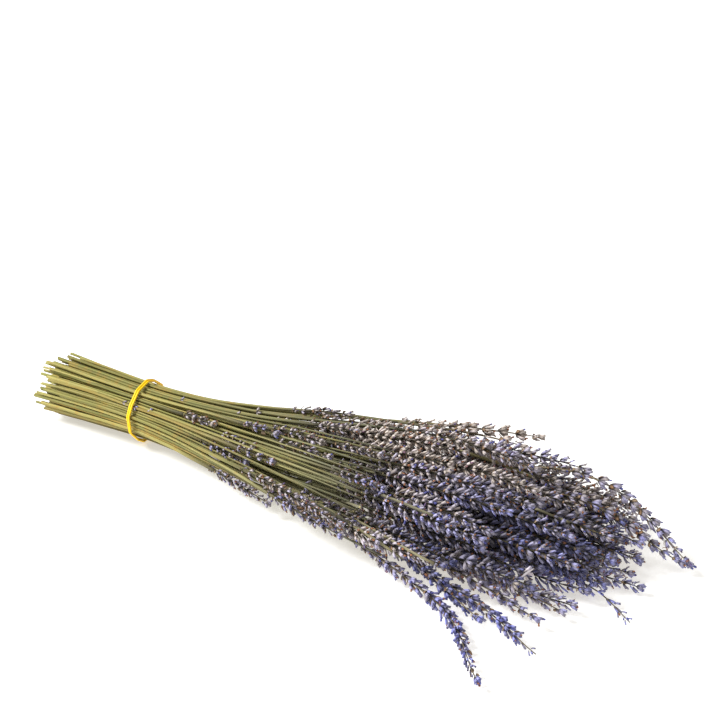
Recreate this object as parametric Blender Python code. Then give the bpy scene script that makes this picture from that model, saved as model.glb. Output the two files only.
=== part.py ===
# A semi-dried lavender bunch lying on its side: long square stems cut to uneven lengths, one flower
# spike at the end of each, and a yellow rubber band wound twice round the stems near the cut ends.
#
# The bunch lies along X with the cut ends at -X and the flowers at +X. The floor is z = 0.
# All lengths are in metres.

import math

import bmesh
import bpy
import numpy as np
from mathutils import Matrix, Vector

# Stalks
STALKS = 88
SEED = 21
CUT_X = -0.236  # mean place of the cut ends
CUT_RAGGED = 0.008  # how far a cut end stands before or behind that place
CUT_SLANT = 0.004  # the upper stems are cut this much shorter, the lower ones longer
TIE_X = -0.150  # place where the rubber band presses the stems together
HEAD_X = 0.120  # place where the flower head is fullest
STATION_STEP = 0.006  # the paths are worked out at stations this far apart on X
STATIONS_BEHIND = 16  # before and behind the band
STATIONS_AHEAD = 66
STEM_SIDE = 0.0022  # a lavender stem is square
STEM_TAPER = 0.80  # width at the flower over width at the cut end
STEM_CLEAR = 0.00160  # half the diagonal of the stem

# The room that the centre lines fill, as x, half width, half height and height of the middle.
ENVELOPE = (
    (-0.250, 0.0238, 0.0212, 0.0224),
    (-0.150, 0.0200, 0.0172, 0.0220),
    (-0.080, 0.0270, 0.0192, 0.0214),
    (-0.020, 0.0425, 0.0240, 0.0258),
    (0.050, 0.0620, 0.0272, 0.0300),
    (0.120, 0.0730, 0.0276, 0.0324),
    (0.190, 0.0735, 0.0218, 0.0268),
    (0.250, 0.0730, 0.0140, 0.0188),
)
SLICES = 16  # upright rows of stalks across the head
ROW_STAGGER = 0.5  # between neighbouring rows, as a share of the distance between two stalks
HEAD_JITTER = 0.10  # random share of the half width and half height
SPREAD_ON = 1.1  # stems go on spreading to this share of the way from the band to the head
SAG = 0.50  # the two sides of the head hang down by this share of its half height
LEAN = 0.005  # the head turns this share of its distance from the band towards -Y

# Flower spikes
REACH = 0.360  # from the band to the tip of the longest common stalk
REACH_SPREAD = 0.135  # the shortest common stalk is this much shorter
REACH_LESS = 0.024  # the near side of the head reaches this much less far
REACH_BIAS = 1.5  # above 1 there are more long stalks than short ones
REACH_MIXED = 0.38  # 0 sorts the stalks, short ones on top, and 1 mixes long and short ones
SPIKE_LENGTH = (0.060, 0.094)
SPIKE_RADIUS = (0.0044, 0.0052)
SPIKE_PROFILE = ((0, 0.8), (0.2, 1), (0.7, 1), (1, 0.62))  # share of the length, share of the radius
RING_PITCH = 0.0054  # between two pairs of calyces
LOOSE_PITCH = 0.0070
LOOSE_RADIUS = 0.0036
CALYX_FORWARD = 0.0038  # a calyx tip stands this far before its root
CORE_SHARE = 0.45  # radius between the calyces over radius at their tips
SIDES = 4
TWIST = 0.35  # each pair of calyces is turned this much more than square to the last, in radians

# Low spikes on short stalks, as share of the half width and half height at the band where the
# stalk starts, reach from the band, and length.
LOW_RADIUS = 0.0036
LOW_OUT = 1.10  # a low spike lies on the outside of the bunch, this share of its half width out
LOW_SPIKES = (
    (-0.65, 0.71, 0.072, 0.028),
    (-0.68, 0.66, 0.112, 0.033),
    (-0.74, 0.62, 0.137, 0.026),
    (-0.90, 0.34, 0.114, 0.038),
    (-0.49, 0.83, 0.125, 0.030),
    (-0.56, 0.78, 0.173, 0.046),
    (-0.43, 0.86, 0.160, 0.030),
    (-0.89, 0.35, 0.212, 0.080),
    (-0.87, -0.41, 0.139, 0.054),
    (-0.96, -0.01, 0.215, 0.056),
    (0.44, 0.85, 0.149, 0.028),
    (-0.09, 0.96, 0.173, 0.030),
    (0.29, 0.92, 0.178, 0.046),
    (0.50, 0.82, 0.189, 0.032),
    (-0.39, 0.88, 0.204, 0.038),
    (-0.64, 0.72, 0.226, 0.038),
)

# Stalks that leave the head, as share of the half width and half height at the band where the
# stalk starts, x of the first calyx, x of the tip, and points (x, y, z) on the way.
STRAY_FROM = 0.030  # they leave the common course this far from the band
STRAYS = (
    (-0.88, -0.42, 0.080, 0.187,
     ((0.000, -0.034, 0.011), (0.041, -0.045, 0.011), (0.083, -0.059, 0.009),
      (0.117, -0.071, 0.007), (0.135, -0.078, 0.006), (0.148, -0.087, 0.006),
      (0.161, -0.098, 0.006), (0.173, -0.113, 0.006), (0.187, -0.133, 0.005))),
    (-0.80, -0.56, 0.086, 0.160,
     ((0.050, -0.036, 0.014), (0.083, -0.050, 0.015), (0.120, -0.067, 0.016),
      (0.140, -0.075, 0.014), (0.160, -0.084, 0.009))),
    (0.40, 0.60, 0.154, 0.218,
     ((0.060, 0.026, 0.036), (0.110, 0.036, 0.040), (0.143, 0.042, 0.046),
      (0.159, 0.048, 0.040), (0.178, 0.054, 0.030), (0.196, 0.054, 0.016),
      (0.218, 0.041, 0.005))),
    (0.60, 0.40, 0.158, 0.215,
     ((0.080, 0.024, 0.029), (0.130, 0.030, 0.034), (0.165, 0.034, 0.033),
      (0.191, 0.037, 0.019), (0.215, 0.041, 0.006))),
    (0.93, 0.30, 0.071, 0.105,
     ((-0.030, 0.024, 0.042), (0.027, 0.034, 0.049), (0.050, 0.042, 0.050),
      (0.072, 0.052, 0.049), (0.105, 0.073, 0.045))),
    (0.80, 0.62, 0.078, 0.104,
     ((0.000, 0.026, 0.048), (0.053, 0.037, 0.050), (0.078, 0.043, 0.050),
      (0.104, 0.052, 0.045))),
    (-0.40, -0.88, 0.130, 0.221,
     ((0.100, -0.016, 0.014), (0.143, -0.014, 0.011), (0.165, -0.009, 0.008),
      (0.190, -0.009, 0.006), (0.201, -0.014, 0.005), (0.211, -0.023, 0.005),
      (0.221, -0.037, 0.005))),
    (-0.75, -0.62, 0.118, 0.198,
     ((0.050, -0.040, 0.013), (0.100, -0.054, 0.011), (0.131, -0.063, 0.010),
      (0.151, -0.068, 0.009), (0.173, -0.074, 0.007), (0.198, -0.091, 0.005))),
    (-0.65, -0.72, 0.106, 0.181,
     ((0.060, -0.034, 0.014), (0.100, -0.043, 0.012), (0.140, -0.051, 0.011),
      (0.163, -0.055, 0.009), (0.181, -0.060, 0.006))),
    (-0.55, -0.80, 0.112, 0.187,
     ((0.100, -0.038, 0.013), (0.147, -0.042, 0.011), (0.176, -0.040, 0.007),
      (0.187, -0.045, 0.006))),
)

PAIRS = 32
PAIR_SHARED = 0.022  # two spikes of a pair lie side by side for at least this length

# Settling of the paths
GAP = 0.0003  # between two nodes that touch
SETTLE_STEPS = 520
SETTLE_MARGIN = 0.0004
BEND_STIFFNESS = 3.0
PUSH_SHARE = 0.35  # of the room that two stalks lack, taken by each in one step
DRAW_SHARE = 0.5  # how hard the two spikes of a pair are drawn together, against a push
DRAW_MOST = 0.002
TIED_LENGTH = 0.010  # the band holds the stems in place this far to both sides of it
TIED_SHARE = 0.3
HOLD = 0.010  # share of the way back to its wanted path that a stalk takes in one step
HOLD_LOW = 0.05  # the same for a low spike
HOLD_STRAY = 0.2
HOLD_UNTIL = 0.8  # share of the steps after which only the strays are still held
# Room round a flower spike, as share of its length and share of its radius.
CLEAR_PROFILE = ((-0.06, 0), (0.04, 0.72), (0.16, 1), (0.70, 0.98), (1.0, 0.55), (1.06, 0.3))

# Meshes
ROOT_RADIUS = 0.0014
ROOT_LENGTH = 0.0030
TIP_LENGTH = 0.0045
TIP_AHEAD = 0.0025  # the last bud stands this far before the end of the path
HOOK_RADIUS = 0.0011
HOOK_TAPER = 0.7
HOOK_AFTER = 0.006  # the hook stands this far after the later first calyx of a pair
HOOK_BEFORE = 0.010  # and this far before the nearer tip
CLOSEST = 0.001  # between two points of a path
WELD = 1e-6
STEM_MISS = 0.0003  # a stem leaves its smooth path by no more than this
GROUNDED = 0.0036  # a cut end lower than this lies on the floor
REST_LENGTH = 0.030
REST_PRESS = 0.00004  # its underside is cut flat this far up
CORE_THICK = 0.0020
CORE_SEGMENTS = 36
CORE_OUT = 0.0008  # the core ends this far outside the middle of the outer stems

# Rubber band
BAND_THICK = 0.0012
BAND_SIDE_STEP = 0.0008  # half the distance between the two turns
BAND_SEGMENTS = 36
BAND_STATIONS = 2  # the band is fitted to the stems at this many stations to both sides
BAND_SAG = 0.0003  # the flat stretches between the points lie this much further in
HULL_STEPS = 360  # directions in which the band and the core are measured
HULL_FLATTEST = 0.2  # cosine of the widest angle at which one of them counts
BAND_BESIDE = 2.6  # angle round the bunch, in radians, where the turns lie side by side
BAND_BACK = 0.004  # the middle of the band stands this far behind its place
BAND_SKEW = 0.20  # the near side of the band stands forward by this share of its distance

STEM_GREEN = (0.300, 0.270, 0.105)
BAND_YELLOW = (0.890, 0.560, 0.010)
CALYX_TINTS = (
    (0.180, 0.150, 0.210),
    (0.145, 0.125, 0.230),
    (0.215, 0.180, 0.200),
    (0.110, 0.100, 0.240),
)
GOLDEN_ANGLE = math.pi * (3 - math.sqrt(5))
GOLDEN_SHARE = 0.6180339887  # multiples of it, less their whole part, spread evenly over 0 to 1
LENGTH_SHARE = 0.1909830056
LENGTH_START = 0.37


def clear_scene():
    for obj in list(bpy.data.objects):
        bpy.data.objects.remove(obj, do_unlink=True)


def make_material(name, colour, roughness):
    material = bpy.data.materials.new(name)
    material.use_nodes = True
    shader = material.node_tree.nodes["Principled BSDF"]
    shader.inputs["Base Color"].default_value = (*colour, 1.0)
    shader.inputs["Roughness"].default_value = roughness
    shader.inputs["Metallic"].default_value = 0.0
    return material


def envelope_at(x):
    """Half width, half height and height of the middle of the bunch at x."""
    table = np.array(ENVELOPE)
    return [np.interp(x, table[:, 0], table[:, column]) for column in (1, 2, 3)]


def stalk_places():
    """The place of each stalk at the band and in the head, both in a unit circle.

    Both sets are cut into the same upright slices and sorted upwards in each, so that straight
    stems between the two don't cross.
    """
    index = np.arange(STALKS)
    out = np.sqrt((index + 0.5) / STALKS)
    angle = index * GOLDEN_ANGLE
    places = np.stack([out * np.cos(angle), out * np.sin(angle)], axis=1)
    places = places[np.argsort(places[:, 0])]
    middle = (np.arange(SLICES) + 0.5) / SLICES * 2 - 1
    chord = np.sqrt(1 - middle**2)
    ends = np.round(np.cumsum(chord) / chord.sum() * STALKS).astype(int)
    at_tie, in_head = [], []
    for number, part in enumerate(np.split(places, ends[:-1])):
        count = len(part)
        stagger = (number % 2 - 0.5) * ROW_STAGGER
        height = ((np.arange(count) + 0.5 + stagger) / count * 2 - 1) * chord[number]
        at_tie.append(part[np.argsort(part[:, 1])])
        in_head.append(np.stack([np.full(count, middle[number]), height], axis=1))
    return np.concatenate(at_tie), np.concatenate(in_head)


def plan_stalks():
    """The wanted path of each stalk, and where its flowers begin and end."""
    rng = np.random.default_rng(SEED)
    x = TIE_X + STATION_STEP * np.arange(-STATIONS_BEHIND, STATIONS_AHEAD + 1)
    at_tie, in_head = stalk_places()
    in_head = in_head + rng.uniform(-HEAD_JITTER, HEAD_JITTER, in_head.shape)
    order = np.arange(STALKS)
    mixed = (order * GOLDEN_SHARE) % 1
    height = np.argsort(np.argsort(in_head[:, 1])) / STALKS
    spread = height + (mixed - height) * REACH_MIXED
    other = (order * LENGTH_SHARE + LENGTH_START) % 1
    reach = REACH - REACH_SPREAD * spread**REACH_BIAS
    reach -= REACH_LESS * np.clip(-in_head[:, 0], 0, 1)
    length = SPIKE_LENGTH[0] + (SPIKE_LENGTH[1] - SPIKE_LENGTH[0]) * other
    radius = SPIKE_RADIUS[0] + (SPIKE_RADIUS[1] - SPIKE_RADIUS[0]) * rng.random(STALKS)
    pitch = np.full(STALKS, RING_PITCH)
    cut = CUT_X + CUT_RAGGED * rng.uniform(-1, 1, STALKS) + CUT_SLANT * at_tie[:, 1]
    hold = np.full(STALKS, HOLD)
    taken = []
    for across, up, low_reach, low_length in LOW_SPIKES:
        stalk = nearest_free(at_tie, across, up, taken)
        reach[stalk] = low_reach
        length[stalk] = low_length
        in_head[stalk] = np.array([across, up]) / math.hypot(across, up) * LOW_OUT
        radius[stalk] = LOW_RADIUS
        hold[stalk] = HOLD_LOW
    half_width, half_height, middle = envelope_at(x)
    toward = np.clip((x - TIE_X) / (HEAD_X - TIE_X), 0, SPREAD_ON)[:, None, None]
    unit = at_tie + (in_head - at_tie) * toward
    unit[:, :, 1] -= SAG * unit[:, :, 0] ** 2 * np.clip(toward[:, :, 0], 0, 1)
    wanted = unit * np.stack([half_width, half_height], axis=1)[:, None, :]
    wanted[:, :, 1] += middle[:, None]
    wanted[:, :, 0] -= LEAN * np.clip(x - TIE_X, 0, None)[:, None]
    slope = in_head[:, 0] * envelope_at(HEAD_X)[0] / (HEAD_X - TIE_X)
    tip = TIE_X + reach / np.sqrt(1 + slope**2)
    base = tip - length
    for across, up, stray_base, stray_tip, points in STRAYS:
        stalk = nearest_free(at_tie, across, up, taken)
        base[stalk], tip[stalk] = stray_base, stray_tip
        pitch[stalk] = LOOSE_PITCH
        radius[stalk] = LOOSE_RADIUS
        hold[stalk] = HOLD_STRAY
        start = np.searchsorted(x, TIE_X + STRAY_FROM)
        known = np.array([(x[start], *wanted[start, stalk])] + list(points))
        for axis in (0, 1):
            path = np.interp(x, known[:, 0], known[:, axis + 1])
            wanted[start:, stalk, axis] = path[start:]
    return dict(x=x, wanted=wanted, base=base, tip=tip, radius=radius, pitch=pitch, cut=cut,
                hold=hold, in_head=in_head)


def choose_pairs(plan):
    """Neighbouring spikes that hook into each other, so that the two make one body."""
    places = plan["in_head"] * np.array(envelope_at(HEAD_X)[:2])
    tip, base = plan["tip"], plan["base"]
    shared = np.minimum.outer(tip, tip) - np.maximum.outer(base, base)
    apart = np.hypot(*(places[:, None] - places[None]).transpose(2, 0, 1))
    loose = plan["pitch"] > RING_PITCH
    apart[(shared < PAIR_SHARED) | loose[:, None] | loose[None]] = np.inf
    pairs, used = [], set()
    for flat in np.argsort(apart, axis=None, kind="stable"):
        first, second = divmod(int(flat), STALKS)
        if len(pairs) == PAIRS or not np.isfinite(apart[first, second]):
            break
        if first < second and first not in used and second not in used:
            pairs.append((first, second))
            used |= {first, second}
    return pairs


def nearest_free(places, across, up, taken):
    """The stalk nearest to this place at the band that no earlier call has given out."""
    away = np.hypot(places[:, 0] - across, places[:, 1] - up)
    away[taken] = np.inf
    stalk = int(np.argmin(away))
    taken.append(stalk)
    return stalk


def clear_radius(plan):
    """The radius that each stalk keeps free at each station, and 0 past its tip."""
    x = plan["x"][:, None]
    share = (x - plan["base"]) / (plan["tip"] - plan["base"])
    swell = np.interp(share, *zip(*CLEAR_PROFILE))
    radius = np.maximum(STEM_CLEAR, plan["radius"] * swell)
    return np.where(share < CLEAR_PROFILE[-1][0], radius, 0.0)


def settle(plan):
    """Moves the paths sideways, little by little, until no two stalks are in each other.

    Each step pushes neighbours apart, lifts them off the floor, draws the two of each pair
    together, pulls each path a little to its wanted place, and makes all paths smooth.
    """
    x = plan["x"]
    paths = plan["wanted"].copy()
    clear = clear_radius(plan)
    there = clear > 0
    both = there[:, :, None] & there[:, None, :]
    both[:, np.arange(STALKS), np.arange(STALKS)] = False
    bend = np.diff(np.eye(len(x)), 2, axis=0)
    smooth = np.linalg.inv(np.eye(len(x)) + BEND_STIFFNESS * bend.T @ bend)
    tied = np.abs(x - TIE_X) < TIED_LENGTH
    paired = np.zeros((STALKS, STALKS), bool)
    for first, second in plan["pairs"]:
        paired[first, second] = paired[second, first] = True
    flowering = clear > STEM_CLEAR
    drawn = paired[None] & flowering[:, :, None] & flowering[:, None, :]
    stray = plan["pitch"] > RING_PITCH
    for step in range(SETTLE_STEPS):
        early = max(0.0, 1 - step / (HOLD_UNTIL * SETTLE_STEPS))
        hold = plan["hold"] * np.where(stray, 1.0, early)
        slant = np.sqrt(1 + (np.gradient(paths, x, axis=0) ** 2).sum(axis=2))
        room = clear * slant
        across = paths[:, :, None, :] - paths[:, None, :, :]
        apart = np.sqrt((across**2).sum(axis=3)) + WELD**2
        lack = room[:, :, None] + room[:, None, :] + GAP + SETTLE_MARGIN - apart
        push = np.where(both, np.clip(lack, 0, None), 0.0)
        push += np.where(drawn, np.clip(lack, -DRAW_MOST, 0), 0.0) * DRAW_SHARE
        shift = (across * (push / apart)[..., None]).sum(axis=2) * PUSH_SHARE
        shift += (plan["wanted"] - paths) * hold[None, :, None]
        shift[tied] += (plan["wanted"] - paths)[tied] * TIED_SHARE
        paths = paths + shift
        paths = np.einsum("ij,jkl->ikl", smooth, paths)
        floor = np.where(there, room, STEM_CLEAR)
        paths[:, :, 1] = np.maximum(paths[:, :, 1], floor)
    return paths


def path_points(plan, paths, stalk, start, end):
    """The path of one stalk between two places on X, as points (x, y, z)."""
    x = plan["x"]
    inside = x[(x > start + CLOSEST) & (x < end - CLOSEST)]
    places = np.concatenate([[start], inside, [end]])
    across = [np.interp(places, x, paths[:, stalk, axis]) for axis in (0, 1)]
    return np.stack([places, *across], axis=1)


def fewer_points(points, allowed):
    """Keeps only the points that a straight line between its neighbours would miss."""
    kept = [0]
    while kept[-1] < len(points) - 1:
        here = kept[-1]
        ahead = here + 1
        while ahead + 1 < len(points):
            chord = points[ahead + 1] - points[here]
            between = points[here + 1 : ahead + 1] - points[here]
            along = chord / np.linalg.norm(chord)
            missed = np.linalg.norm(between - np.outer(between @ along, along), axis=1)
            if missed.max() > allowed:
                break
            ahead += 1
        kept.append(ahead)
    return points[kept]


def object_from(name, vertices, faces):
    mesh = bpy.data.meshes.new(name)
    mesh.from_pydata([tuple(map(float, v)) for v in vertices], [], faces)
    mesh.update()
    obj = bpy.data.objects.new(name, mesh)
    bpy.context.scene.collection.objects.link(obj)
    return obj


def mesh_of_curve(curve_object):
    """Turns a curve object into a mesh object of the same name, with its caps welded on."""
    bpy.context.view_layer.update()
    graph = bpy.context.evaluated_depsgraph_get()
    mesh = bpy.data.meshes.new_from_object(curve_object.evaluated_get(graph))
    name = curve_object.name
    bpy.data.objects.remove(curve_object, do_unlink=True)
    work = bmesh.new()
    work.from_mesh(mesh)
    bmesh.ops.remove_doubles(work, verts=work.verts, dist=WELD)
    bmesh.ops.triangulate(work, faces=work.faces)
    bmesh.ops.recalc_face_normals(work, faces=work.faces)
    work.to_mesh(mesh)
    work.free()
    obj = bpy.data.objects.new(name, mesh)
    bpy.context.scene.collection.objects.link(obj)
    return obj


def tube(name, points, widths, radius, bevel, roll=0.0, closed=False):
    """A tube along the points: bevel 0 gives it four sides, 1 six, 2 eight."""
    curve = bpy.data.curves.new(name, "CURVE")
    curve.dimensions = "3D"
    curve.bevel_depth = radius
    curve.bevel_resolution = bevel
    curve.use_fill_caps = not closed
    curve.twist_mode = "MINIMUM" if closed else "Z_UP"
    spline = curve.splines.new("POLY")
    spline.points.add(len(points) - 1)
    for place, point, width in zip(spline.points, points, widths):
        place.co = (*map(float, point), 1.0)
        place.radius = float(width)
        place.tilt = roll
    spline.use_cyclic_u = closed
    obj = bpy.data.objects.new(name, curve)
    bpy.context.scene.collection.objects.link(obj)
    return mesh_of_curve(obj)


def fuse(base, others):
    """Joins the others to the base with one union, then removes them."""
    group = bpy.data.collections.new(base.name + "_repeats")
    bpy.context.scene.collection.children.link(group)
    for other in others:
        bpy.context.scene.collection.objects.unlink(other)
        group.objects.link(other)
    union = base.modifiers.new("union", "BOOLEAN")
    union.operation = "UNION"
    union.operand_type = "COLLECTION"
    union.collection = group
    union.solver = "MANIFOLD"
    bpy.context.view_layer.update()
    graph = bpy.context.evaluated_depsgraph_get()
    mesh = bpy.data.meshes.new_from_object(base.evaluated_get(graph))
    base.modifiers.clear()
    base.data = mesh
    for other in others:
        bpy.data.objects.remove(other, do_unlink=True)
    bpy.data.collections.remove(group)
    return base


def frames_along(points):
    """The direction of a path at each point, and two directions square to it and to each other."""
    along = np.gradient(points, axis=0)
    along /= np.linalg.norm(along, axis=1)[:, None]
    side = np.cross(along, (0.0, 0.0, 1.0))
    side /= np.linalg.norm(side, axis=1)[:, None]
    return along, side, np.cross(side, along)


def is_calyx(ring, corner):
    """Whether this corner of this ring is a calyx tip: two of four are, the other two in the next."""
    return ring > 0 and (ring + corner) % 2 == 0


def make_spike(name, points, radius, pitch, turn):
    """One flower spike: pairs of pointed calyces round a slim core, from a flat root to a tip.

    Each ring has two calyx tips, pushed out and forwards, and two corners on the core, and the next
    ring has them the other way round, as lavender has. It is a loft between unlike sections, split
    into triangles along the line between core corners, so that the tips stand alone.
    """
    length = np.linalg.norm(np.diff(points, axis=0), axis=1)
    run = np.concatenate([[0], np.cumsum(length)])
    rings = max(3, round((run[-1] - ROOT_LENGTH - TIP_LENGTH) / pitch))
    spots = np.concatenate([[0], np.linspace(ROOT_LENGTH, run[-1] - TIP_LENGTH, rings), run[-1:]])
    centres = np.stack([np.interp(spots, run, points[:, axis]) for axis in range(3)], axis=1)
    along, side, up = frames_along(centres)
    vertices = []
    for ring in range(rings + 1):
        full = radius * np.interp(ring / rings, *zip(*SPIKE_PROFILE))
        for corner in range(SIDES):
            angle = turn + 2 * math.pi * corner / SIDES + TWIST * ring
            outward = math.cos(angle) * side[ring] + math.sin(angle) * up[ring]
            out = ROOT_RADIUS if ring == 0 else full * CORE_SHARE
            ahead = 0.0
            if is_calyx(ring, corner):
                out, ahead = full, CALYX_FORWARD
            vertices.append(centres[ring] + out * outward + ahead * along[ring])
    vertices.append(centres[-1] + TIP_AHEAD * along[-1])
    faces = [tuple(range(SIDES))]
    for ring in range(rings):
        for corner in range(SIDES):
            a = ring * SIDES + corner
            b = ring * SIDES + (corner + 1) % SIDES
            if is_calyx(ring + 1, corner):
                faces += [(a, a + SIDES, b + SIDES), (a, b + SIDES, b)]
            else:
                faces += [(a, a + SIDES, b), (b, a + SIDES, b + SIDES)]
    last = rings * SIDES
    for corner in range(SIDES):
        faces.append((last + corner, last + SIDES, last + (corner + 1) % SIDES))
    vertices = np.array(vertices)
    vertices[:, 2] = np.maximum(vertices[:, 2], 0)
    return object_from(name, vertices, faces)


def make_hook(name, start, end):
    """A slim calyx from the core of one spike to the core of the next."""
    across = Vector(end - start)
    work = bmesh.new()
    bmesh.ops.create_cone(work, cap_ends=True, segments=SIDES, radius1=HOOK_RADIUS,
                          radius2=HOOK_RADIUS * HOOK_TAPER, depth=across.length)
    turned = across.to_track_quat("Z", "Y").to_matrix().to_4x4()
    work.transform(Matrix.Translation(Vector((start + end) / 2)) @ turned)
    mesh = bpy.data.meshes.new(name)
    work.to_mesh(mesh)
    work.free()
    obj = bpy.data.objects.new(name, mesh)
    bpy.context.scene.collection.objects.link(obj)
    return obj


def spike_of(plan, paths, stalk, name):
    start = plan["base"][stalk] + GAP
    points = path_points(plan, paths, stalk, start, plan["tip"][stalk])
    turn = stalk * GOLDEN_ANGLE
    return make_spike(name, points, plan["radius"][stalk], plan["pitch"][stalk], turn)


def make_pair(plan, paths, first, second, name):
    """Two neighbouring spikes and the calyx that hooks them together."""
    x = plan["x"]
    start = max(plan["base"][first], plan["base"][second]) + HOOK_AFTER
    end = min(plan["tip"][first], plan["tip"][second]) - HOOK_BEFORE
    inside = np.flatnonzero((x >= start) & (x <= end))
    apart = np.linalg.norm(paths[inside, first] - paths[inside, second], axis=1)
    station = inside[np.argmin(apart)]
    ends = [np.array([x[station], *paths[station, stalk]]) for stalk in (first, second)]
    hook = make_hook(name + "_hook", *ends)
    other = spike_of(plan, paths, second, name + "_other")
    return fuse(spike_of(plan, paths, first, name), [other, hook])


def make_stems(plan, paths, material):
    """All stems, joined where the band presses them together."""
    pieces = []
    for stalk in range(STALKS):
        points = path_points(plan, paths, stalk, plan["cut"][stalk], plan["base"][stalk])
        points = fewer_points(points, STEM_MISS)
        grounded = points[0, 2] < GROUNDED
        roll = math.pi / 4 if grounded else stalk * GOLDEN_ANGLE
        if grounded:
            points = rest_end(points)
        share = (points[:, 0] - CUT_X) / (HEAD_X - CUT_X)
        widths = 1 - (1 - STEM_TAPER) * np.clip(share, 0, 1)
        stem = tube(f"stem_{stalk}", points, widths, STEM_SIDE / math.sqrt(2), 0, roll)
        for vertex in stem.data.vertices:
            vertex.co.z = max(vertex.co.z, 0.0)
        pieces.append(stem)
    core = make_core(places_at_tie(plan, paths))
    return finish(fuse(core, pieces), material)


def places_at_tie(plan, paths):
    return paths[int(np.argmin(np.abs(plan["x"] - TIE_X)))]


def rest_end(points):
    """Lays the cut end of a low stem flat on the floor, pressed on it a hair."""
    flat = points[0].copy()
    knee = flat + (points[1] - flat) / (points[1, 0] - flat[0]) * REST_LENGTH
    flat[2] = knee[2] = STEM_SIDE / 2 - REST_PRESS
    return np.concatenate([[flat, knee], points[1:]])


def hull_reach(places, angles, margin):
    """How far from their middle a cord pulled tight round the places runs, at each angle.

    The cord touches no line that stands square to a direction, and at that margin outside the
    furthest place in it. The nearest of all these lines is where the cord runs.
    """
    facing = np.arange(HULL_STEPS) * 2 * math.pi / HULL_STEPS
    square = np.stack([np.cos(facing), np.sin(facing)])
    furthest = ((places - places.mean(axis=0)) @ square).max(axis=0) + margin
    turned = np.cos(angles[:, None] - facing)
    return (furthest / np.maximum(turned, HULL_FLATTEST)).min(axis=1)


def make_core(places):
    """A disc that holds the middle of every stem."""
    middle = places.mean(axis=0)
    turn = np.arange(CORE_SEGMENTS) * 2 * math.pi / CORE_SEGMENTS
    reach = hull_reach(places, turn, CORE_OUT)
    ring = middle + np.stack([np.cos(turn), np.sin(turn)], axis=1) * reach[:, None]
    sides = [np.column_stack([np.full(CORE_SEGMENTS, TIE_X + end * CORE_THICK / 2), ring])
             for end in (-1, 1)]
    faces = [tuple(range(CORE_SEGMENTS))[::-1], tuple(range(CORE_SEGMENTS, 2 * CORE_SEGMENTS))]
    for first in range(CORE_SEGMENTS):
        after = (first + 1) % CORE_SEGMENTS
        faces.append((first, after, after + CORE_SEGMENTS, first + CORE_SEGMENTS))
    return object_from("stems", np.concatenate(sides), faces)


def make_band(plan, paths, material):
    """A rubber band wound twice, a little askew: the turns lie side by side on the near side, and
    on the far side one crosses over the other."""
    turn = np.arange(2 * BAND_SEGMENTS) * 2 * math.pi / BAND_SEGMENTS
    margin = STEM_CLEAR + GAP + BAND_THICK / 2 + BAND_SAG
    reach = hull_reach(places_at_tie(plan, paths), turn, margin)
    x = TIE_X - BAND_BACK - BAND_SKEW * reach * np.cos(turn)
    near = np.flatnonzero(np.abs(plan["x"] - TIE_X) <= BAND_STATIONS * STATION_STEP + WELD)
    reaches = np.stack([hull_reach(paths[station], turn, margin) for station in near])
    middles = np.stack([paths[station].mean(axis=0) for station in near])
    reach = np.array([np.interp(here, plan["x"][near], column) for here, column in zip(x, reaches.T)])
    middle = np.stack([np.interp(x, plan["x"][near], middles[:, axis]) for axis in (0, 1)], axis=1)
    reach += BAND_THICK / 2 * (1 + np.sin((turn - BAND_BESIDE) / 2))
    points = np.stack([
        x + BAND_SIDE_STEP * np.cos((turn - BAND_BESIDE) / 2),
        middle[:, 0] + reach * np.cos(turn),
        middle[:, 1] + reach * np.sin(turn),
    ], axis=1)
    band = tube("rubber_band", points, np.ones(len(points)), BAND_THICK / 2, 1, closed=True)
    return finish(band, material)


def finish(obj, material):
    """Gives the object its material and leaves its faces turned outwards."""
    obj.data.materials.clear()
    obj.data.materials.append(material)
    work = bmesh.new()
    work.from_mesh(obj.data)
    bmesh.ops.recalc_face_normals(work, faces=work.faces)
    work.to_mesh(obj.data)
    work.free()
    return obj


def recentre(objects):
    """Moves the whole bunch so that the middle of its box is over the origin and its foot at 0."""
    corners = np.array([v.co[:] for obj in objects for v in obj.data.vertices])
    low, high = corners.min(axis=0), corners.max(axis=0)
    shift = Vector((-(low[0] + high[0]) / 2, -(low[1] + high[1]) / 2, -low[2]))
    for obj in objects:
        obj.data.transform(Matrix.Translation(shift))


def collect(objects):
    bunch = bpy.data.collections.new("lavender_bunch")
    bpy.context.scene.collection.children.link(bunch)
    for obj in objects:
        bpy.context.scene.collection.objects.unlink(obj)
        bunch.objects.link(obj)


def main():
    clear_scene()
    plan = plan_stalks()
    plan["pairs"] = choose_pairs(plan)
    paths = settle(plan)
    green = make_material("dried_stem", STEM_GREEN, 0.75)
    yellow = make_material("yellow_rubber", BAND_YELLOW, 0.45)
    tints = [make_material(f"calyx_{n + 1}", tint, 0.85) for n, tint in enumerate(CALYX_TINTS)]
    objects = [make_stems(plan, paths, green), make_band(plan, paths, yellow)]
    paired = {stalk for pair in plan["pairs"] for stalk in pair}
    for number, (first, second) in enumerate(plan["pairs"], 1):
        pair = make_pair(plan, paths, first, second, f"spike_pair_{number:02d}")
        objects.append(finish(pair, tints[number % len(tints)]))
    alone = [stalk for stalk in range(STALKS) if stalk not in paired]
    for number, stalk in enumerate(alone, 1):
        spike = spike_of(plan, paths, stalk, f"spike_{number:02d}")
        objects.append(finish(spike, tints[number % len(tints)]))
    recentre(objects)
    collect(objects)


main()
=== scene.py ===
import math

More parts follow.
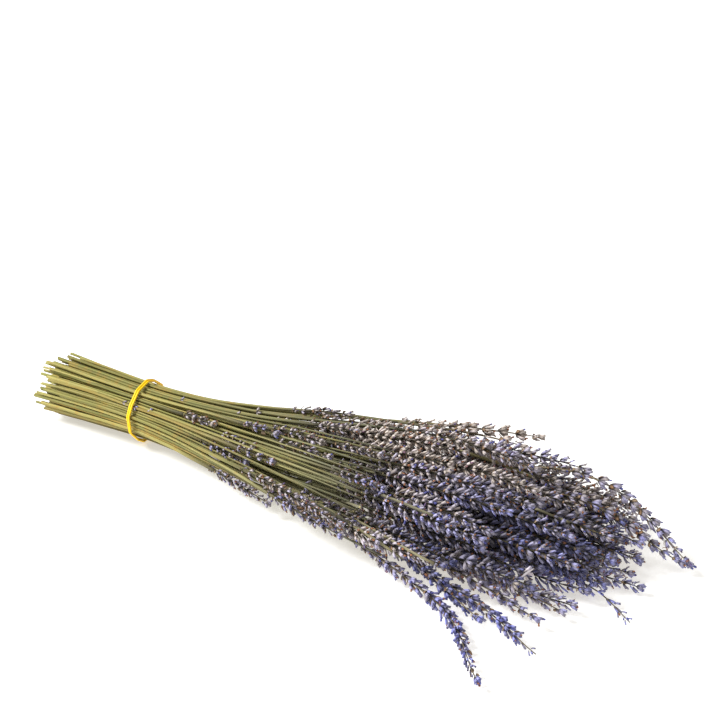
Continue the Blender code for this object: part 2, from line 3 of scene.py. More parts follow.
import bpy
import numpy as np
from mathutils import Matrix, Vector


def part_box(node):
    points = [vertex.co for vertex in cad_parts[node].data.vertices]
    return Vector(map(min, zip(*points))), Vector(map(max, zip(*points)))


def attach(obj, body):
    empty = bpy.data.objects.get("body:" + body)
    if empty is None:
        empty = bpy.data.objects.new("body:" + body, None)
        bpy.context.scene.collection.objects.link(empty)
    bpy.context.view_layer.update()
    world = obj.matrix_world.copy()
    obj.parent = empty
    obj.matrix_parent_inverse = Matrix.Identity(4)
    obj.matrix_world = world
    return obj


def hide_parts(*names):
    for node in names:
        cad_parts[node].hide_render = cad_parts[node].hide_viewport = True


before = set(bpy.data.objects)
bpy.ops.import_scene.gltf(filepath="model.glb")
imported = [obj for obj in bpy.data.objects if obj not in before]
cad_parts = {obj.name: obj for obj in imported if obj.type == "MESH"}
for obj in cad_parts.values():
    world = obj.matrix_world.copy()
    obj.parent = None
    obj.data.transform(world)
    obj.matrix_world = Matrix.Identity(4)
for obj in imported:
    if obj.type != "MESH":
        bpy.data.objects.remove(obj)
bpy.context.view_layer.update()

# A semi-dried lavender bunch on its side, with a yellow rubber band round the stems.
# It lies along X, cut ends at -X, flowers at +X, on the floor z = 0. Lengths are in metres.

print("frame loaded:", len(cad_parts), "nodes")

# Where every stalk runs: the same rule and the same seed as the solids have.
bunch = {
    "stalks": 88,
    "seed": 21,
    "cutAt": -0.236,  # mean place of the cut ends
    "cutRagged": 0.008,
    "cutSlant": 0.004,  # the upper stems are cut shorter
    "tieAt": -0.150,  # the rubber band
    "headAt": 0.120,  # where the head is fullest
    "step": 0.006,  # the paths are worked out this far apart on X
    "stepsBehind": 16, "stepsAhead": 66,
    "stemSide": 0.0022, "stemClear": 0.00160,
    # x, half width, half height and height of the middle of the room that the centre lines fill
    "room": (
        (-0.250, 0.0238, 0.0212, 0.0224), (-0.150, 0.0200, 0.0172, 0.0220),
        (-0.080, 0.0270, 0.0192, 0.0214), (-0.020, 0.0425, 0.0240, 0.0258),
        (0.050, 0.0620, 0.0272, 0.0300), (0.120, 0.0730, 0.0276, 0.0324),
        (0.190, 0.0735, 0.0218, 0.0268), (0.250, 0.0730, 0.0140, 0.0188),
    ),
    "slices": 16,  # upright rows of stalks across the head
    "rowStagger": 0.5, "headJitter": 0.10, "spreadOn": 1.1,
    "sag": 0.50,  # both sides of the head hang down by this share of its half height
    "lean": 0.005,
    "reach": 0.360,  # from the band to the tip of the longest common stalk
    "reachSpread": 0.135, "reachLess": 0.024, "reachBias": 1.5, "reachMixed": 0.38,
    "spikeLength": (0.060, 0.094), "spikeRadius": (0.0044, 0.0052), "ringPitch": 0.0054,
    "loosePitch": 0.0070, "looseRadius": 0.0036, "twist": 0.35, "lowRadius": 0.0036, "lowOut": 1.10,
    # share of the half width and half height at the band, reach from the band, length
    "lowSpikes": (
        (-0.65, 0.71, 0.072, 0.028), (-0.68, 0.66, 0.112, 0.033), (-0.74, 0.62, 0.137, 0.026),
        (-0.90, 0.34, 0.114, 0.038), (-0.49, 0.83, 0.125, 0.030), (-0.56, 0.78, 0.173, 0.046),
        (-0.43, 0.86, 0.160, 0.030), (-0.89, 0.35, 0.212, 0.080), (-0.87, -0.41, 0.139, 0.054),
        (-0.96, -0.01, 0.215, 0.056), (0.44, 0.85, 0.149, 0.028), (-0.09, 0.96, 0.173, 0.030),
        (0.29, 0.92, 0.178, 0.046), (0.50, 0.82, 0.189, 0.032), (-0.39, 0.88, 0.204, 0.038),
        (-0.64, 0.72, 0.226, 0.038),
    ),
    "strayFrom": 0.030,
    # share of the half width and half height at the band; then in millimetres x of the first calyx,
    # x of the tip, and the points that the stalk passes
    "strays": (
        (-0.88, -0.42, 80, 187, ((0, -34, 11), (41, -45, 11), (83, -59, 9), (117, -71, 7),
         (135, -78, 6), (148, -87, 6), (161, -98, 6), (173, -113, 6), (187, -133, 5))),
        (-0.80, -0.56, 86, 160, ((50, -36, 14), (83, -50, 15), (120, -67, 16), (140, -75, 14),
         (160, -84, 9))),
        (0.40, 0.60, 154, 218, ((60, 26, 36), (110, 36, 40), (143, 42, 46), (159, 48, 40),
         (178, 54, 30), (196, 54, 16), (218, 41, 5))),
        (0.60, 0.40, 158, 215, ((80, 24, 29), (130, 30, 34), (165, 34, 33), (191, 37, 19),
         (215, 41, 6))),
        (0.93, 0.30, 71, 105, ((-30, 24, 42), (27, 34, 49), (50, 42, 50), (72, 52, 49),
         (105, 73, 45))),
        (0.80, 0.62, 78, 104, ((0, 26, 48), (53, 37, 50), (78, 43, 50), (104, 52, 45))),
        (-0.40, -0.88, 130, 221, ((100, -16, 14), (143, -14, 11), (165, -9, 8), (190, -9, 6),
         (201, -14, 5), (211, -23, 5), (221, -37, 5))),
        (-0.75, -0.62, 118, 198, ((50, -40, 13), (100, -54, 11), (131, -63, 10), (151, -68, 9),
         (173, -74, 7), (198, -91, 5))),
        (-0.65, -0.72, 106, 181, ((60, -34, 14), (100, -43, 12), (140, -51, 11), (163, -55, 9),
         (181, -60, 6))),
        (-0.55, -0.80, 112, 187, ((100, -38, 13), (147, -42, 11), (176, -40, 7), (187, -45, 6))),
    ),
    "pairs": 32, "pairShared": 0.022, "gap": 0.0003,
    "settleSteps": 520, "settleMargin": 0.0004, "lookEvery": 10, "lookOut": 0.006,
    "bendStiffness": 3.0, "pushShare": 0.35, "drawShare": 0.5, "drawMost": 0.002,
    "tiedLength": 0.010, "tiedShare": 0.3,
    "hold": 0.010, "holdLow": 0.05, "holdStray": 0.2, "holdUntil": 0.8,
    "clearProfile": ((-0.06, 0), (0.04, 0.72), (0.16, 1), (0.70, 0.98), (1.0, 0.55), (1.06, 0.3)),
    "rootLength": 0.0030, "tipLength": 0.0045,
    "tints": 4,
    "goldenShare": 0.6180339887,  # multiples of it, less their whole part, spread evenly over 0 to 1
    "lengthShare": 0.1909830056, "lengthStart": 0.37,
}
goldenAngle = math.pi * (3 - math.sqrt(5))
tiny = 1e-6


# Vectors of length 1 in the same directions.
def unitOf(vectors):
    return vectors / np.linalg.norm(vectors, axis=-1, keepdims=True)


# Distances from each of the first places to each of the second.
def distancesOf(first, second):
    return np.hypot(*(first[:, None] - second[None]).transpose(2, 0, 1))


# 0 before the first of two ends, 1 after the second, an even slope between.
def rise(x, ends):
    return np.clip((x - ends[0]) / (ends[1] - ends[0]), 0, 1)


# Half width, half height and middle of the room at x.
def roomAt(x):
    table = np.array(bunch["room"])
    return [np.interp(x, table[:, 0], table[:, column]) for column in (1, 2, 3)]


# Places on an even disc at the band and in staggered rows in the head, sorted slice by slice.
def stalkPlaces():
    count = bunch["stalks"]
    index = np.arange(count)
    out = np.sqrt((index + 0.5) / count)
    places = np.stack([out * np.cos(index * goldenAngle), out * np.sin(index * goldenAngle)], axis=1)
    places = places[np.argsort(places[:, 0])]
    middle = (np.arange(bunch["slices"]) + 0.5) / bunch["slices"] * 2 - 1
    chord = np.sqrt(1 - middle**2)
    ends = np.round(np.cumsum(chord) / chord.sum() * count).astype(int)
    atTie, inHead = [], []
    for number, part in enumerate(np.split(places, ends[:-1])):
        stagger = (number % 2 - 0.5) * bunch["rowStagger"]
        height = ((np.arange(len(part)) + 0.5 + stagger) / len(part) * 2 - 1) * chord[number]
        atTie.append(part[np.argsort(part[:, 1])])
        inHead.append(np.stack([np.full(len(part), middle[number]), height], axis=1))
    return np.concatenate(atTie), np.concatenate(inHead)


# The stalk that stands nearest to a place at the band, of those that are not taken yet.
def nearestFree(places, across, up, taken):
    away = np.hypot(places[:, 0] - across, places[:, 1] - up)
    away[taken] = np.inf
    stalk = int(np.argmin(away))
    taken.append(stalk)
    return stalk


# The wanted path of each stalk, straight from band to head, and where its flowers are.
def planStalks():
    rng = np.random.default_rng(bunch["seed"])
    count, tieAt, headAt = bunch["stalks"], bunch["tieAt"], bunch["headAt"]
    x = tieAt + bunch["step"] * np.arange(-bunch["stepsBehind"], bunch["stepsAhead"] + 1)
    atTie, inHead = stalkPlaces()
    inHead = inHead + rng.uniform(-bunch["headJitter"], bunch["headJitter"], inHead.shape)
    order = np.arange(count)
    mixed = (order * bunch["goldenShare"]) % 1
    height = np.argsort(np.argsort(inHead[:, 1])) / count
    spread = height + (mixed - height) * bunch["reachMixed"]
    other = (order * bunch["lengthShare"] + bunch["lengthStart"]) % 1
    reach = bunch["reach"] - bunch["reachSpread"] * spread ** bunch["reachBias"]
    reach -= bunch["reachLess"] * np.clip(-inHead[:, 0], 0, 1)
    short, long = bunch["spikeLength"]
    length = short + (long - short) * other
    slim, stout = bunch["spikeRadius"]
    radius = slim + (stout - slim) * rng.random(count)
    pitch = np.full(count, bunch["ringPitch"])
    cut = bunch["cutAt"] + bunch["cutRagged"] * rng.uniform(-1, 1, count)
    cut += bunch["cutSlant"] * atTie[:, 1]
    hold = np.full(count, bunch["hold"])
    taken = []
    for across, up, lowReach, lowLength in bunch["lowSpikes"]:
        stalk = nearestFree(atTie, across, up, taken)
        reach[stalk], length[stalk] = lowReach, lowLength
        inHead[stalk] = np.array([across, up]) / math.hypot(across, up) * bunch["lowOut"]
        radius[stalk] = bunch["lowRadius"]
        hold[stalk] = bunch["holdLow"]
    halfWidth, halfHeight, middle = roomAt(x)
    toward = np.clip((x - tieAt) / (headAt - tieAt), 0, bunch["spreadOn"])[:, None, None]
    unit = atTie + (inHead - atTie) * toward
    unit[:, :, 1] -= bunch["sag"] * unit[:, :, 0] ** 2 * np.clip(toward[:, :, 0], 0, 1)
    wanted = unit * np.stack([halfWidth, halfHeight], axis=1)[:, None, :]
    wanted[:, :, 1] += middle[:, None]
    wanted[:, :, 0] -= bunch["lean"] * np.clip(x - tieAt, 0, None)[:, None]
    slope = inHead[:, 0] * roomAt(headAt)[0] / (headAt - tieAt)
    tip = tieAt + reach / np.sqrt(1 + slope**2)
    base = tip - length
    lows, strays = list(taken), []
    for across, up, strayBase, strayTip, points in bunch["strays"]:
        stalk = nearestFree(atTie, across, up, taken)
        strays.append(stalk)
        base[stalk], tip[stalk] = strayBase / 1000, strayTip / 1000
        pitch[stalk], radius[stalk] = bunch["loosePitch"], bunch["looseRadius"]
        hold[stalk] = bunch["holdStray"]
        start = np.searchsorted(x, tieAt + bunch["strayFrom"])
        known = np.vstack([(x[start], *wanted[start, stalk]), np.array(points) / 1000])
        for axis in (0, 1):
            path = np.interp(x, known[:, 0], known[:, axis + 1])
            wanted[start:, stalk, axis] = path[start:]
    return dict(x=x, wanted=wanted, base=base, tip=tip, radius=radius, pitch=pitch, cut=cut,
                hold=hold, inHead=inHead, lows=lows, strays=strays)


# Neighbouring spikes that hook into each other and so are one solid.
def choosePairs(plan):
    places = plan["inHead"] * np.array(roomAt(bunch["headAt"])[:2])
    tip, base = plan["tip"], plan["base"]
    shared = np.minimum.outer(tip, tip) - np.maximum.outer(base, base)
    apart = distancesOf(places, places)
    loose = plan["pitch"] > bunch["ringPitch"]
    apart[(shared < bunch["pairShared"]) | loose[:, None] | loose[None]] = np.inf
    pairs, used = [], set()
    for flat in np.argsort(apart, axis=None, kind="stable"):
        first, second = divmod(int(flat), bunch["stalks"])
        if len(pairs) == bunch["pairs"] or not np.isfinite(apart[first, second]):
            break
        if first < second and first not in used and second not in used:
            pairs.append((first, second))
            used |= {first, second}
    return pairs


# The radius that each stalk keeps free at each place on X, and 0 past its tip.
def clearRadius(plan):
    share = (plan["x"][:, None] - plan["base"]) / (plan["tip"] - plan["base"])
    swell = np.interp(share, *zip(*bunch["clearProfile"]))
    clear = np.maximum(bunch["stemClear"], plan["radius"] * swell)
    return np.where(share < bunch["clearProfile"][-1][0], clear, 0.0)


# Pushes the paths apart sideways, off the floor and smooth, step by step. Every few steps it looks
# again which pairs of stalks are near each other at which station; only those are worked out.
def settle(plan):
    x, count = plan["x"], bunch["stalks"]
    paths, clear = plan["wanted"].copy(), clearRadius(plan)
    there = clear > 0
    first, second = np.triu_indices(count, 1)
    both = there[:, first] & there[:, second]
    bend = np.diff(np.eye(len(x)), 2, axis=0)
    smooth = np.linalg.inv(np.eye(len(x)) + bunch["bendStiffness"] * bend.T @ bend)
    tied = np.abs(x - bunch["tieAt"]) < bunch["tiedLength"]
    chosen = set(plan["pairs"])
    paired = np.array([pair in chosen for pair in zip(first.tolist(), second.tolist())])
    flowering = clear > bunch["stemClear"]
    drawn = paired & flowering[:, first] & flowering[:, second]
    stray = plan["pitch"] > bunch["ringPitch"]
    spare = bunch["gap"] + bunch["settleMargin"]
    for step in range(bunch["settleSteps"]):
        early = max(0.0, 1 - step / (bunch["holdUntil"] * bunch["settleSteps"]))
        hold = plan["hold"] * np.where(stray, 1.0, early)
        room = clear * np.sqrt(1 + (np.gradient(paths, x, axis=0) ** 2).sum(axis=2))
        if step % bunch["lookEvery"] == 0:
            away = np.hypot(*(paths[:, first] - paths[:, second]).transpose(2, 0, 1))
            reach = room[:, first] + room[:, second] + bunch["lookOut"]
            station, pair = np.nonzero(drawn | (both & (away < reach)))
            a, b, pulled = first[pair], second[pair], drawn[station, pair]
        across = paths[station, a] - paths[station, b]
        apart = np.sqrt((across**2).sum(axis=1)) + tiny**2
        lack = room[station, a] + room[station, b] + spare - apart
        push = np.clip(lack, 0, None)
        push += np.where(pulled, np.clip(lack, -bunch["drawMost"], 0), 0.0) * bunch["drawShare"]
        moves = across * (push / apart * bunch["pushShare"])[:, None]
        shift = (plan["wanted"] - paths) * hold[None, :, None]
        for axis in (0, 1):
            for owner, sign in ((a, 1), (b, -1)):
                drift = np.bincount(station * count + owner, moves[:, axis], paths[:, :, 0].size)
                shift[:, :, axis] += sign * drift.reshape(-1, count)
        shift[tied] += (plan["wanted"] - paths)[tied] * bunch["tiedShare"]
        paths = np.einsum("ij,jkl->ikl", smooth, paths + shift)
        paths[:, :, 1] = np.maximum(paths[:, :, 1], np.where(there, room, bunch["stemClear"]))
    return paths


plan = planStalks()
plan["pairs"] = choosePairs(plan)
paths = settle(plan)  # [station, stalk, (y, z)]
tieStation = int(np.argmin(np.abs(plan["x"] - bunch["tieAt"])))
print("paths settled:", bunch["stalks"], "stalks")

# The rubber band stands first: its node says how far the solids were moved to the origin.
band = {
    "thick": 0.0012,
    "sideStep": 0.0008,  # half the distance between the two turns
    "solidSegments": 36,
    "segments": 144,
    "sides": 12,
    "stations": 2,  # fitted to the stems at this many stations to both sides
    "sag": 0.0003,
    "hullSteps": 360,
    "hullFlattest": 0.2,
    "beside": 2.6,  # angle round the bunch where the turns lie side by side
    "back": 0.004,  # its middle stands this far behind its place
    "skew": 0.20,  # the near side stands forward by this share of its distance
    "closer": 0.0008,  # the fine band is pressed this much further in than the solid
    "wide": 1.12,  # width of a strand over its thickness
    "squareness": 3,  # a strand would be round at 2
    "edgeNarrow": 4,  # the darker edges are narrower with more
    "colour": (1.000, 0.640, 0.000),
    "shadeColour": (0.900, 0.490, 0.000),
}


# How far from their middle a cord pulled tight round the places runs, at each angle: the nearest of
# all the lines that stand square to a direction, at that margin outside the furthest place in it.
def hullReach(places, angles, margin):
    facing = np.arange(band["hullSteps"]) * 2 * math.pi / band["hullSteps"]
    square = np.stack([np.cos(facing), np.sin(facing)])
    furthest = ((places - places.mean(axis=0)) @ square).max(axis=0) + margin
    turned = np.cos(angles[:, None] - facing)
    return (furthest / np.maximum(turned, band["hullFlattest"])).min(axis=1)


# Two turns pulled tight round the stems and a little askew; a half sine lifts each turn where it
# crosses the other and sets the two side by side on the near side.
def bandLine(count):
    turn = np.arange(2 * count) * 2 * math.pi / count
    margin = bunch["stemClear"] + bunch["gap"] + band["thick"] / 2 + band["sag"]
    forward = -band["skew"] * hullReach(paths[tieStation], turn, margin) * np.cos(turn)
    x = bunch["tieAt"] - band["back"] + forward
    near = np.arange(tieStation - band["stations"], tieStation + band["stations"] + 1)
    reaches = np.stack([hullReach(paths[station], turn, margin) for station in near])
    middles = paths[near].mean(axis=1)
    place = np.clip((x - plan["x"][near[0]]) / bunch["step"], 0, len(near) - 1 - tiny)
    first = place.astype(int)
    share = place - first
    column = np.arange(len(turn))
    reach = reaches[first, column] * (1 - share) + reaches[first + 1, column] * share
    middle = middles[first] * (1 - share)[:, None] + middles[first + 1] * share[:, None]
    phase = (turn - band["beside"]) / 2
    reach += band["thick"] / 2 * (1 + np.sin(phase))
    return np.stack([x + band["sideStep"] * np.cos(phase), middle[:, 0] + reach * np.cos(turn),
                     middle[:, 1] + reach * np.sin(turn)], axis=1)


solidLine = bandLine(band["solidSegments"])
low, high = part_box("rubber_band")
moved = np.array((low + high) / 2) - (solidLine.min(axis=0) + solidLine.max(axis=0)) / 2
moved[2] = 0.0
print("layout moved by", moved.round(5).tolist())


# Points of a stalk's centre line at these places on X, in the frame.
def stalkPoints(stalk, x):
    line = [np.interp(x, plan["x"], paths[:, stalk, axis]) for axis in (0, 1)]
    return np.stack([x, *line], axis=-1) + moved


# The centre lines of all stalks, one row of places on X for each.
def stalkLines(x):
    return np.stack([stalkPoints(stalk, row) for stalk, row in enumerate(x)])


# Direction along each line of points, and two directions square to it and to each other.
def axesOf(points):
    along = unitOf(np.gradient(points, axis=-2))
    side = unitOf(np.cross(along, (0.0, 0.0, 1.0)))
    return along, side, np.cross(side, along)


# An object of this data, linked to the scene.
def newObject(name, data):
    thing = bpy.data.objects.new(name, data)
    bpy.context.scene.collection.objects.link(thing)
    return thing


# A mesh from arrays: points, a list of face arrays, and numbers kept for each point as attributes.
def newPiece(name, points, faces, looks, materials, nodes=(), kinds=None):
    mesh = bpy.data.meshes.new(name)
    corners = np.concatenate([part.ravel() for part in faces])
    sizes = np.concatenate([np.full(len(part), part.shape[1]) for part in faces])
    mesh.vertices.add(len(points))
    mesh.vertices.foreach_set("co", points.astype(np.float32).ravel())
    mesh.loops.add(len(corners))
    mesh.loops.foreach_set("vertex_index", corners.astype(np.int32))
    mesh.polygons.add(len(sizes))
    mesh.polygons.foreach_set("loop_start", (np.cumsum(sizes) - sizes).astype(np.int32))
    mesh.polygons.foreach_set("use_smooth", np.ones(len(sizes), bool))
    for material in materials:
        mesh.materials.append(material)
    if kinds is not None:
        mesh.polygons.foreach_set("material_index", kinds.astype(np.int32))
    for label, values in looks.items():
        layer = mesh.attributes.new(label, "FLOAT", "POINT")
        layer.data.foreach_set("value", np.asarray(values, np.float32).ravel())
    mesh.update(calc_edges=True)
    mesh.validate()
    piece = newObject(name, mesh)
    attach(piece, "root")
    if nodes:
        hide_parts(*nodes)
    print(f"{name}: {int((sizes - 2).sum())} triangles")


# Faces of several tubes, each a grid of rings by sides; points run tube, ring, side.
def tubeFaces(count, rings, sides, closedAlong=False):
    ring = np.arange(rings if closedAlong else rings - 1)
    column = np.arange(sides)
    here, after = ring[:, None] * sides, ((ring + 1) % rings)[:, None] * sides
    beside = (column + 1) % sides
    quads = np.stack([here + column, here + beside, after + beside, after + column], axis=-1)
    start = (np.arange(count) * rings * sides)[:, None, None]
    faces = [(quads.reshape(-1, 4)[None] + start).reshape(-1, 4)]
    if not closedAlong:
        ends = np.stack([column[::-1], (rings - 1) * sides + column])
        faces.append((ends[None] + start).reshape(-1, sides))
    return faces


# A Wire is one output socket; arithmetic on it adds Math nodes.
class Wire:
    def __init__(self, graph, socket):
        self.graph, self.socket = graph, socket

    def combine(self, operation, *values):
        return self.graph.node("ShaderNodeMath", {"operation": operation}, values)

    def __add__(self, other):
        return self.combine("ADD", self, other)

    def __sub__(self, other):
        return self.combine("SUBTRACT", self, other)

    def __rsub__(self, other):
        return self.combine("SUBTRACT", other, self)

    def __mul__(self, other):
        return self.combine("MULTIPLY", self, other)

    __radd__ = __add__
    __rmul__ = __mul__

    def between(self, low, high):  # 0 below low, 1 above high, an even slope between
        values = {"Value": self, "From Min": low, "From Max": high}
        return self.graph.node("ShaderNodeMapRange", {"clamp": True}, values)

    def kept(self):  # held between 0 and 1
        return self.combine("MINIMUM", self.combine("MAXIMUM", self, 0.0), 1.0)


# The node tree of one material, ending in its Principled BSDF.
class Graph:
    def __init__(self, name):
        self.material = bpy.data.materials.new(name)
        self.material.use_nodes = True
        self.tree = self.material.node_tree
        self.shader = self.tree.nodes["Principled BSDF"]

    def feed(self, socket, value):
        if isinstance(value, Wire):
            self.tree.links.new(value.socket, socket)
        elif hasattr(value, "__len__") and len(value) == 3 and socket.type == "RGBA":
            socket.default_value = (*value, 1.0)
        else:
            socket.default_value = value

    def node(self, kind, settings, values, output=0):  # settings first, then the sockets
        made = self.tree.nodes.new(kind)
        for setting, value in settings.items():
            setattr(made, setting, value)
        pairs = values.items() if isinstance(values, dict) else enumerate(values)
        for socket, value in pairs:
            self.feed(made.inputs[socket], value)
        return Wire(self, made.outputs[output])

    def ramp(self, factor, stops):
        made = self.node("ShaderNodeValToRGB", {}, {"Fac": factor}, "Color")
        ramp = made.socket.node.color_ramp.elements
        while len(ramp) < len(stops):
            ramp.new(1.0)
        for stop, (place, colour) in zip(ramp, stops):
            stop.position, stop.color = place, (*colour, 1.0)
        return made

    def look(self, label):
        return self.node("ShaderNodeAttribute", {"attribute_name": label}, {}, "Fac")

    def vector(self, x, y, z):
        return self.node("ShaderNodeCombineXYZ", {}, (x, y, z))

    def place(self):
        return self.node("ShaderNodeTexCoord", {}, {}, "Object")

    def noise(self, vector, scale, detail=2.0, rough=0.5):
        values = {"Vector": vector, "Scale": scale, "Detail": detail, "Roughness": rough}
        return self.node("ShaderNodeTexNoise", {"noise_dimensions": "3D"}, values, "Fac")

    def mix(self, factor, first, second):  # sockets 0, 6 and 7: the factor and the two colours
        return self.node("ShaderNodeMix", {"data_type": "RGBA"}, {0: factor, 6: first, 7: second}, 2)

    def bright(self, colour, value):
        return self.node("ShaderNodeHueSaturation", {}, {"Color": colour, "Value": value})

    def bump(self, height, strength, distance):
        values = {"Height": height, "Strength": strength, "Distance": distance}
        return self.node("ShaderNodeBump", {}, values)

    def finish(self, **inputs):
        for label, value in inputs.items():
            self.feed(self.shader.inputs[shaderSockets[label]], value)
        return self.material


shaderSockets = {"colour": "Base Color", "roughness": "Roughness", "normal": "Normal",
                 "shine": "Specular IOR Level", "sheen": "Sheen Weight",
                 "glow": "Emission Color", "glowStrength": "Emission Strength"}


# The same double turn as the solid, finer: a soft-cornered strip carried along the line.
def makeBand(material):
    line = bandLine(band["segments"])
    count = len(line)
    turn = np.arange(count) * 2 * math.pi / band["segments"]
    outward = np.stack([np.zeros(count), np.cos(turn), np.sin(turn)], axis=1)
    line = line - outward * band["closer"]
    along = unitOf(np.roll(line, -1, axis=0) - np.roll(line, 1, axis=0))
    side = unitOf(np.cross(along, outward))
    outward = np.cross(side, along)
    angle = np.arange(band["sides"]) * 2 * math.pi / band["sides"]
    power = band["squareness"]
    square = (np.abs(np.cos(angle)) ** power + np.abs(np.sin(angle)) ** power) ** (-1 / power)
    half = band["thick"] / 2 * square
    across = (np.cos(angle) * half * band["wide"])[None, :, None] * side[:, None]
    upward = (np.sin(angle) * half)[None, :, None] * outward[:, None]
    grid = line[:, None] + across + upward + moved
    faces = tubeFaces(1, count, band["sides"], closedAlong=True)
    edge = np.broadcast_to(np.abs(np.cos(angle)) ** band["edgeNarrow"], grid.shape[:2])
    newPiece("rubber_band_fine", grid.reshape(-1, 3), faces, {"edge": edge}, [material],
             ["rubber_band"])


# Yellow, deeper at both edges of the strand and in worn patches, with a little dust.
def bandMaterial():
    g = Graph("yellowRubber")
    dust = g.noise(g.place(), 700.0, 3.0)
    worn = g.noise(g.place(), 120.0, 2.0).between(0.45, 0.75)
    colour = g.mix((g.look("edge") * 0.55 + worn * 0.35).kept(), band["colour"], band["shadeColour"])
    colour = g.bright(colour, 0.94 + dust * 0.14)
    normal = g.bump(dust, 0.2, 0.0002)
    return g.finish(colour=colour, roughness=0.42 + dust * 0.2, normal=normal, shine=0.4)


makeBand(bandMaterial())

stems = {
    "seed": 11,
    "rings": 44, "sides": 12,
    "thick": (0.76, 1.04),  # width over the solids' width, from stem to stem
    "thin": 0.52,  # and this much of it where the flowers begin
    "cutBack": 0.004,  # the fine stems are cut this much shorter than the solids
    "into": 0.001,  # and end this far in the flowers
    "thinFrom": (-0.06, 0.10), "strayThin": 0.528,
    "corner": 1.16, "sunk": 0.93,  # a square stem: corners out, sides sunk between them
    "wobble": 0.00014, "wobbleWaves": (1.0, 5.0),
    "turns": 1.2,  # radians of twist from end to end
    "cutTilt": 0.45,  # slant of the cut faces
    "deepOver": 0.035,  # stems take painted shade over this length as they go in between the flowers
    "dryFrom": (0.02, 0.06),  # strays dry out between these places on X
    "ripeFrom": (-0.13, 0.07),  # and all stems turn greyer between these
    "holeOver": 0.03, "holeGrid": 0.0005,
    "holeOut": -0.0005,  # bare stems fill the holes up to this far outside the outer stalks
    "fillerApart": 0.00172, "fillerMost": 260, "fillerRings": 34, "fillerSides": 8,
    "fillerThick": (0.56, 0.96), "fillerCut": (-0.9, 2.4), "fillerDeep": 0.06,
    "askew": (0.020, 0.012),  # behind the band they leave the stalks sideways and upwards by this
    "askewAhead": 0.25,  # much a metre, and ahead of it by this share of that
    "fan": (9.0, 12.0),  # their places spread by this much a metre ahead of the band and behind it
    "fanMost": 0.07,  # ahead of it no further than this
    "fillerEnd": (-0.010, 0.014),  # so far into the flowers of the stalks beside it
    "fillerLast": 0.060, "fillerStray": 0.010,
    "fillerLong": (0.10, 0.060),  # this share of them goes on by up to this much
    "rachisRings": 14, "rachisSides": 6, "rachisThick": (0.26, 0.12),
    "rachisEnds": (-0.002, -0.001),  # from the roots and the tips of the flowers
    "green": (0.275, 0.275, 0.070),
    "olive": (0.350, 0.325, 0.085),
    "straw": (0.450, 0.395, 0.125),
    "gold": (0.460, 0.315, 0.070),
    "brown": (0.330, 0.215, 0.070),
    "greyGreen": (0.235, 0.242, 0.155),
    # painted shade of the stems in between the flowers
    "shadeBetweenFlowers": (0.075, 0.066, 0.042),
    "dry": (0.330, 0.265, 0.165),
    "pith": (0.620, 0.540, 0.340),
}


# Square tubes carried along lines of points [tube, ring, 3]: four corners out, sides sunk.
def squareTube(points, half, roll, sides):
    along, side, up = axesOf(points)
    column = np.arange(sides)
    corner = column % max(sides // 4, 2) == 0
    angle = column * 2 * math.pi / sides + roll[..., None]
    out = np.where(corner, stems["corner"], stems["sunk"]) * half[..., None]
    across = (np.cos(angle) * out)[..., None] * side[:, :, None]
    upward = (np.sin(angle) * out)[..., None] * up[:, :, None]
    return points[:, :, None] + across + upward, corner


# One sine of random wave and phase for each line, sideways and upwards.
def wobbleOf(rng, count, rings):
    share = np.linspace(0, 1, rings)[None, :, None]
    waves = rng.uniform(*stems["wobbleWaves"], (count, 1, 2))
    phase = rng.uniform(0, 2 * math.pi, (count, 1, 2))
    return np.sin(2 * math.pi * waves * share + phase) * stems["wobble"]


# A roll for each stem, and its slow twist.
def rollOf(rng, count, rings):
    return rng.uniform(0, 2 * math.pi, (count, 1)) + np.linspace(0, stems["turns"], rings)


# Lines, half widths and rolls of the stems of the stalks, and how deep in the flowers and how dry
# each ring is.
def stalkStems(rng):
    rings, count = stems["rings"], bunch["stalks"]
    first, last = plan["cut"] + stems["cutBack"], plan["base"] + stems["into"]
    lines = stalkLines(np.linspace(first, last, rings, axis=1))
    lines[:, :, 1:] += wobbleOf(rng, count, rings)
    x = lines[:, :, 0] - moved[0]
    stray = np.isin(np.arange(count), plan["strays"])[:, None]
    thin = np.where(stray, stems["strayThin"], stems["thin"])
    taper = 1 - (1 - thin) * rise(x, stems["thinFrom"])
    half = rng.uniform(*stems["thick"], (count, 1)) * taper * bunch["stemSide"] / 2
    lines[:, :, 2] = np.maximum(lines[:, :, 2], half * stems["corner"])
    roll = rollOf(rng, count, rings)
    deep = rise(x - plan["base"][:, None], (-stems["deepOver"], 0)) * ~stray
    return lines, half, roll, deep, rise(x, stems["dryFrom"]) * stray


# Places for more stems at the band: the point of a grid that is furthest from all stems takes the
# next one, until the holes between them are full.
def holesBetween(places):
    step = np.arange(-stems["holeOver"], stems["holeOver"], stems["holeGrid"])
    grid = np.stack(np.meshgrid(step, step), axis=-1).reshape(-1, 2)
    angle = np.arctan2(grid[:, 1], grid[:, 0])
    grid = grid[np.hypot(*grid.T) < hullReach(places, angle, stems["holeOut"])]
    grid = grid + places.mean(axis=0)
    free = distancesOf(grid, places).min(axis=1)
    spots = []
    while free.max() > stems["fillerApart"] and len(spots) < stems["fillerMost"]:
        spot = grid[int(np.argmax(free))]
        spots.append(spot)
        free = np.minimum(free, np.hypot(*(grid - spot).T))
    return np.stack(spots)


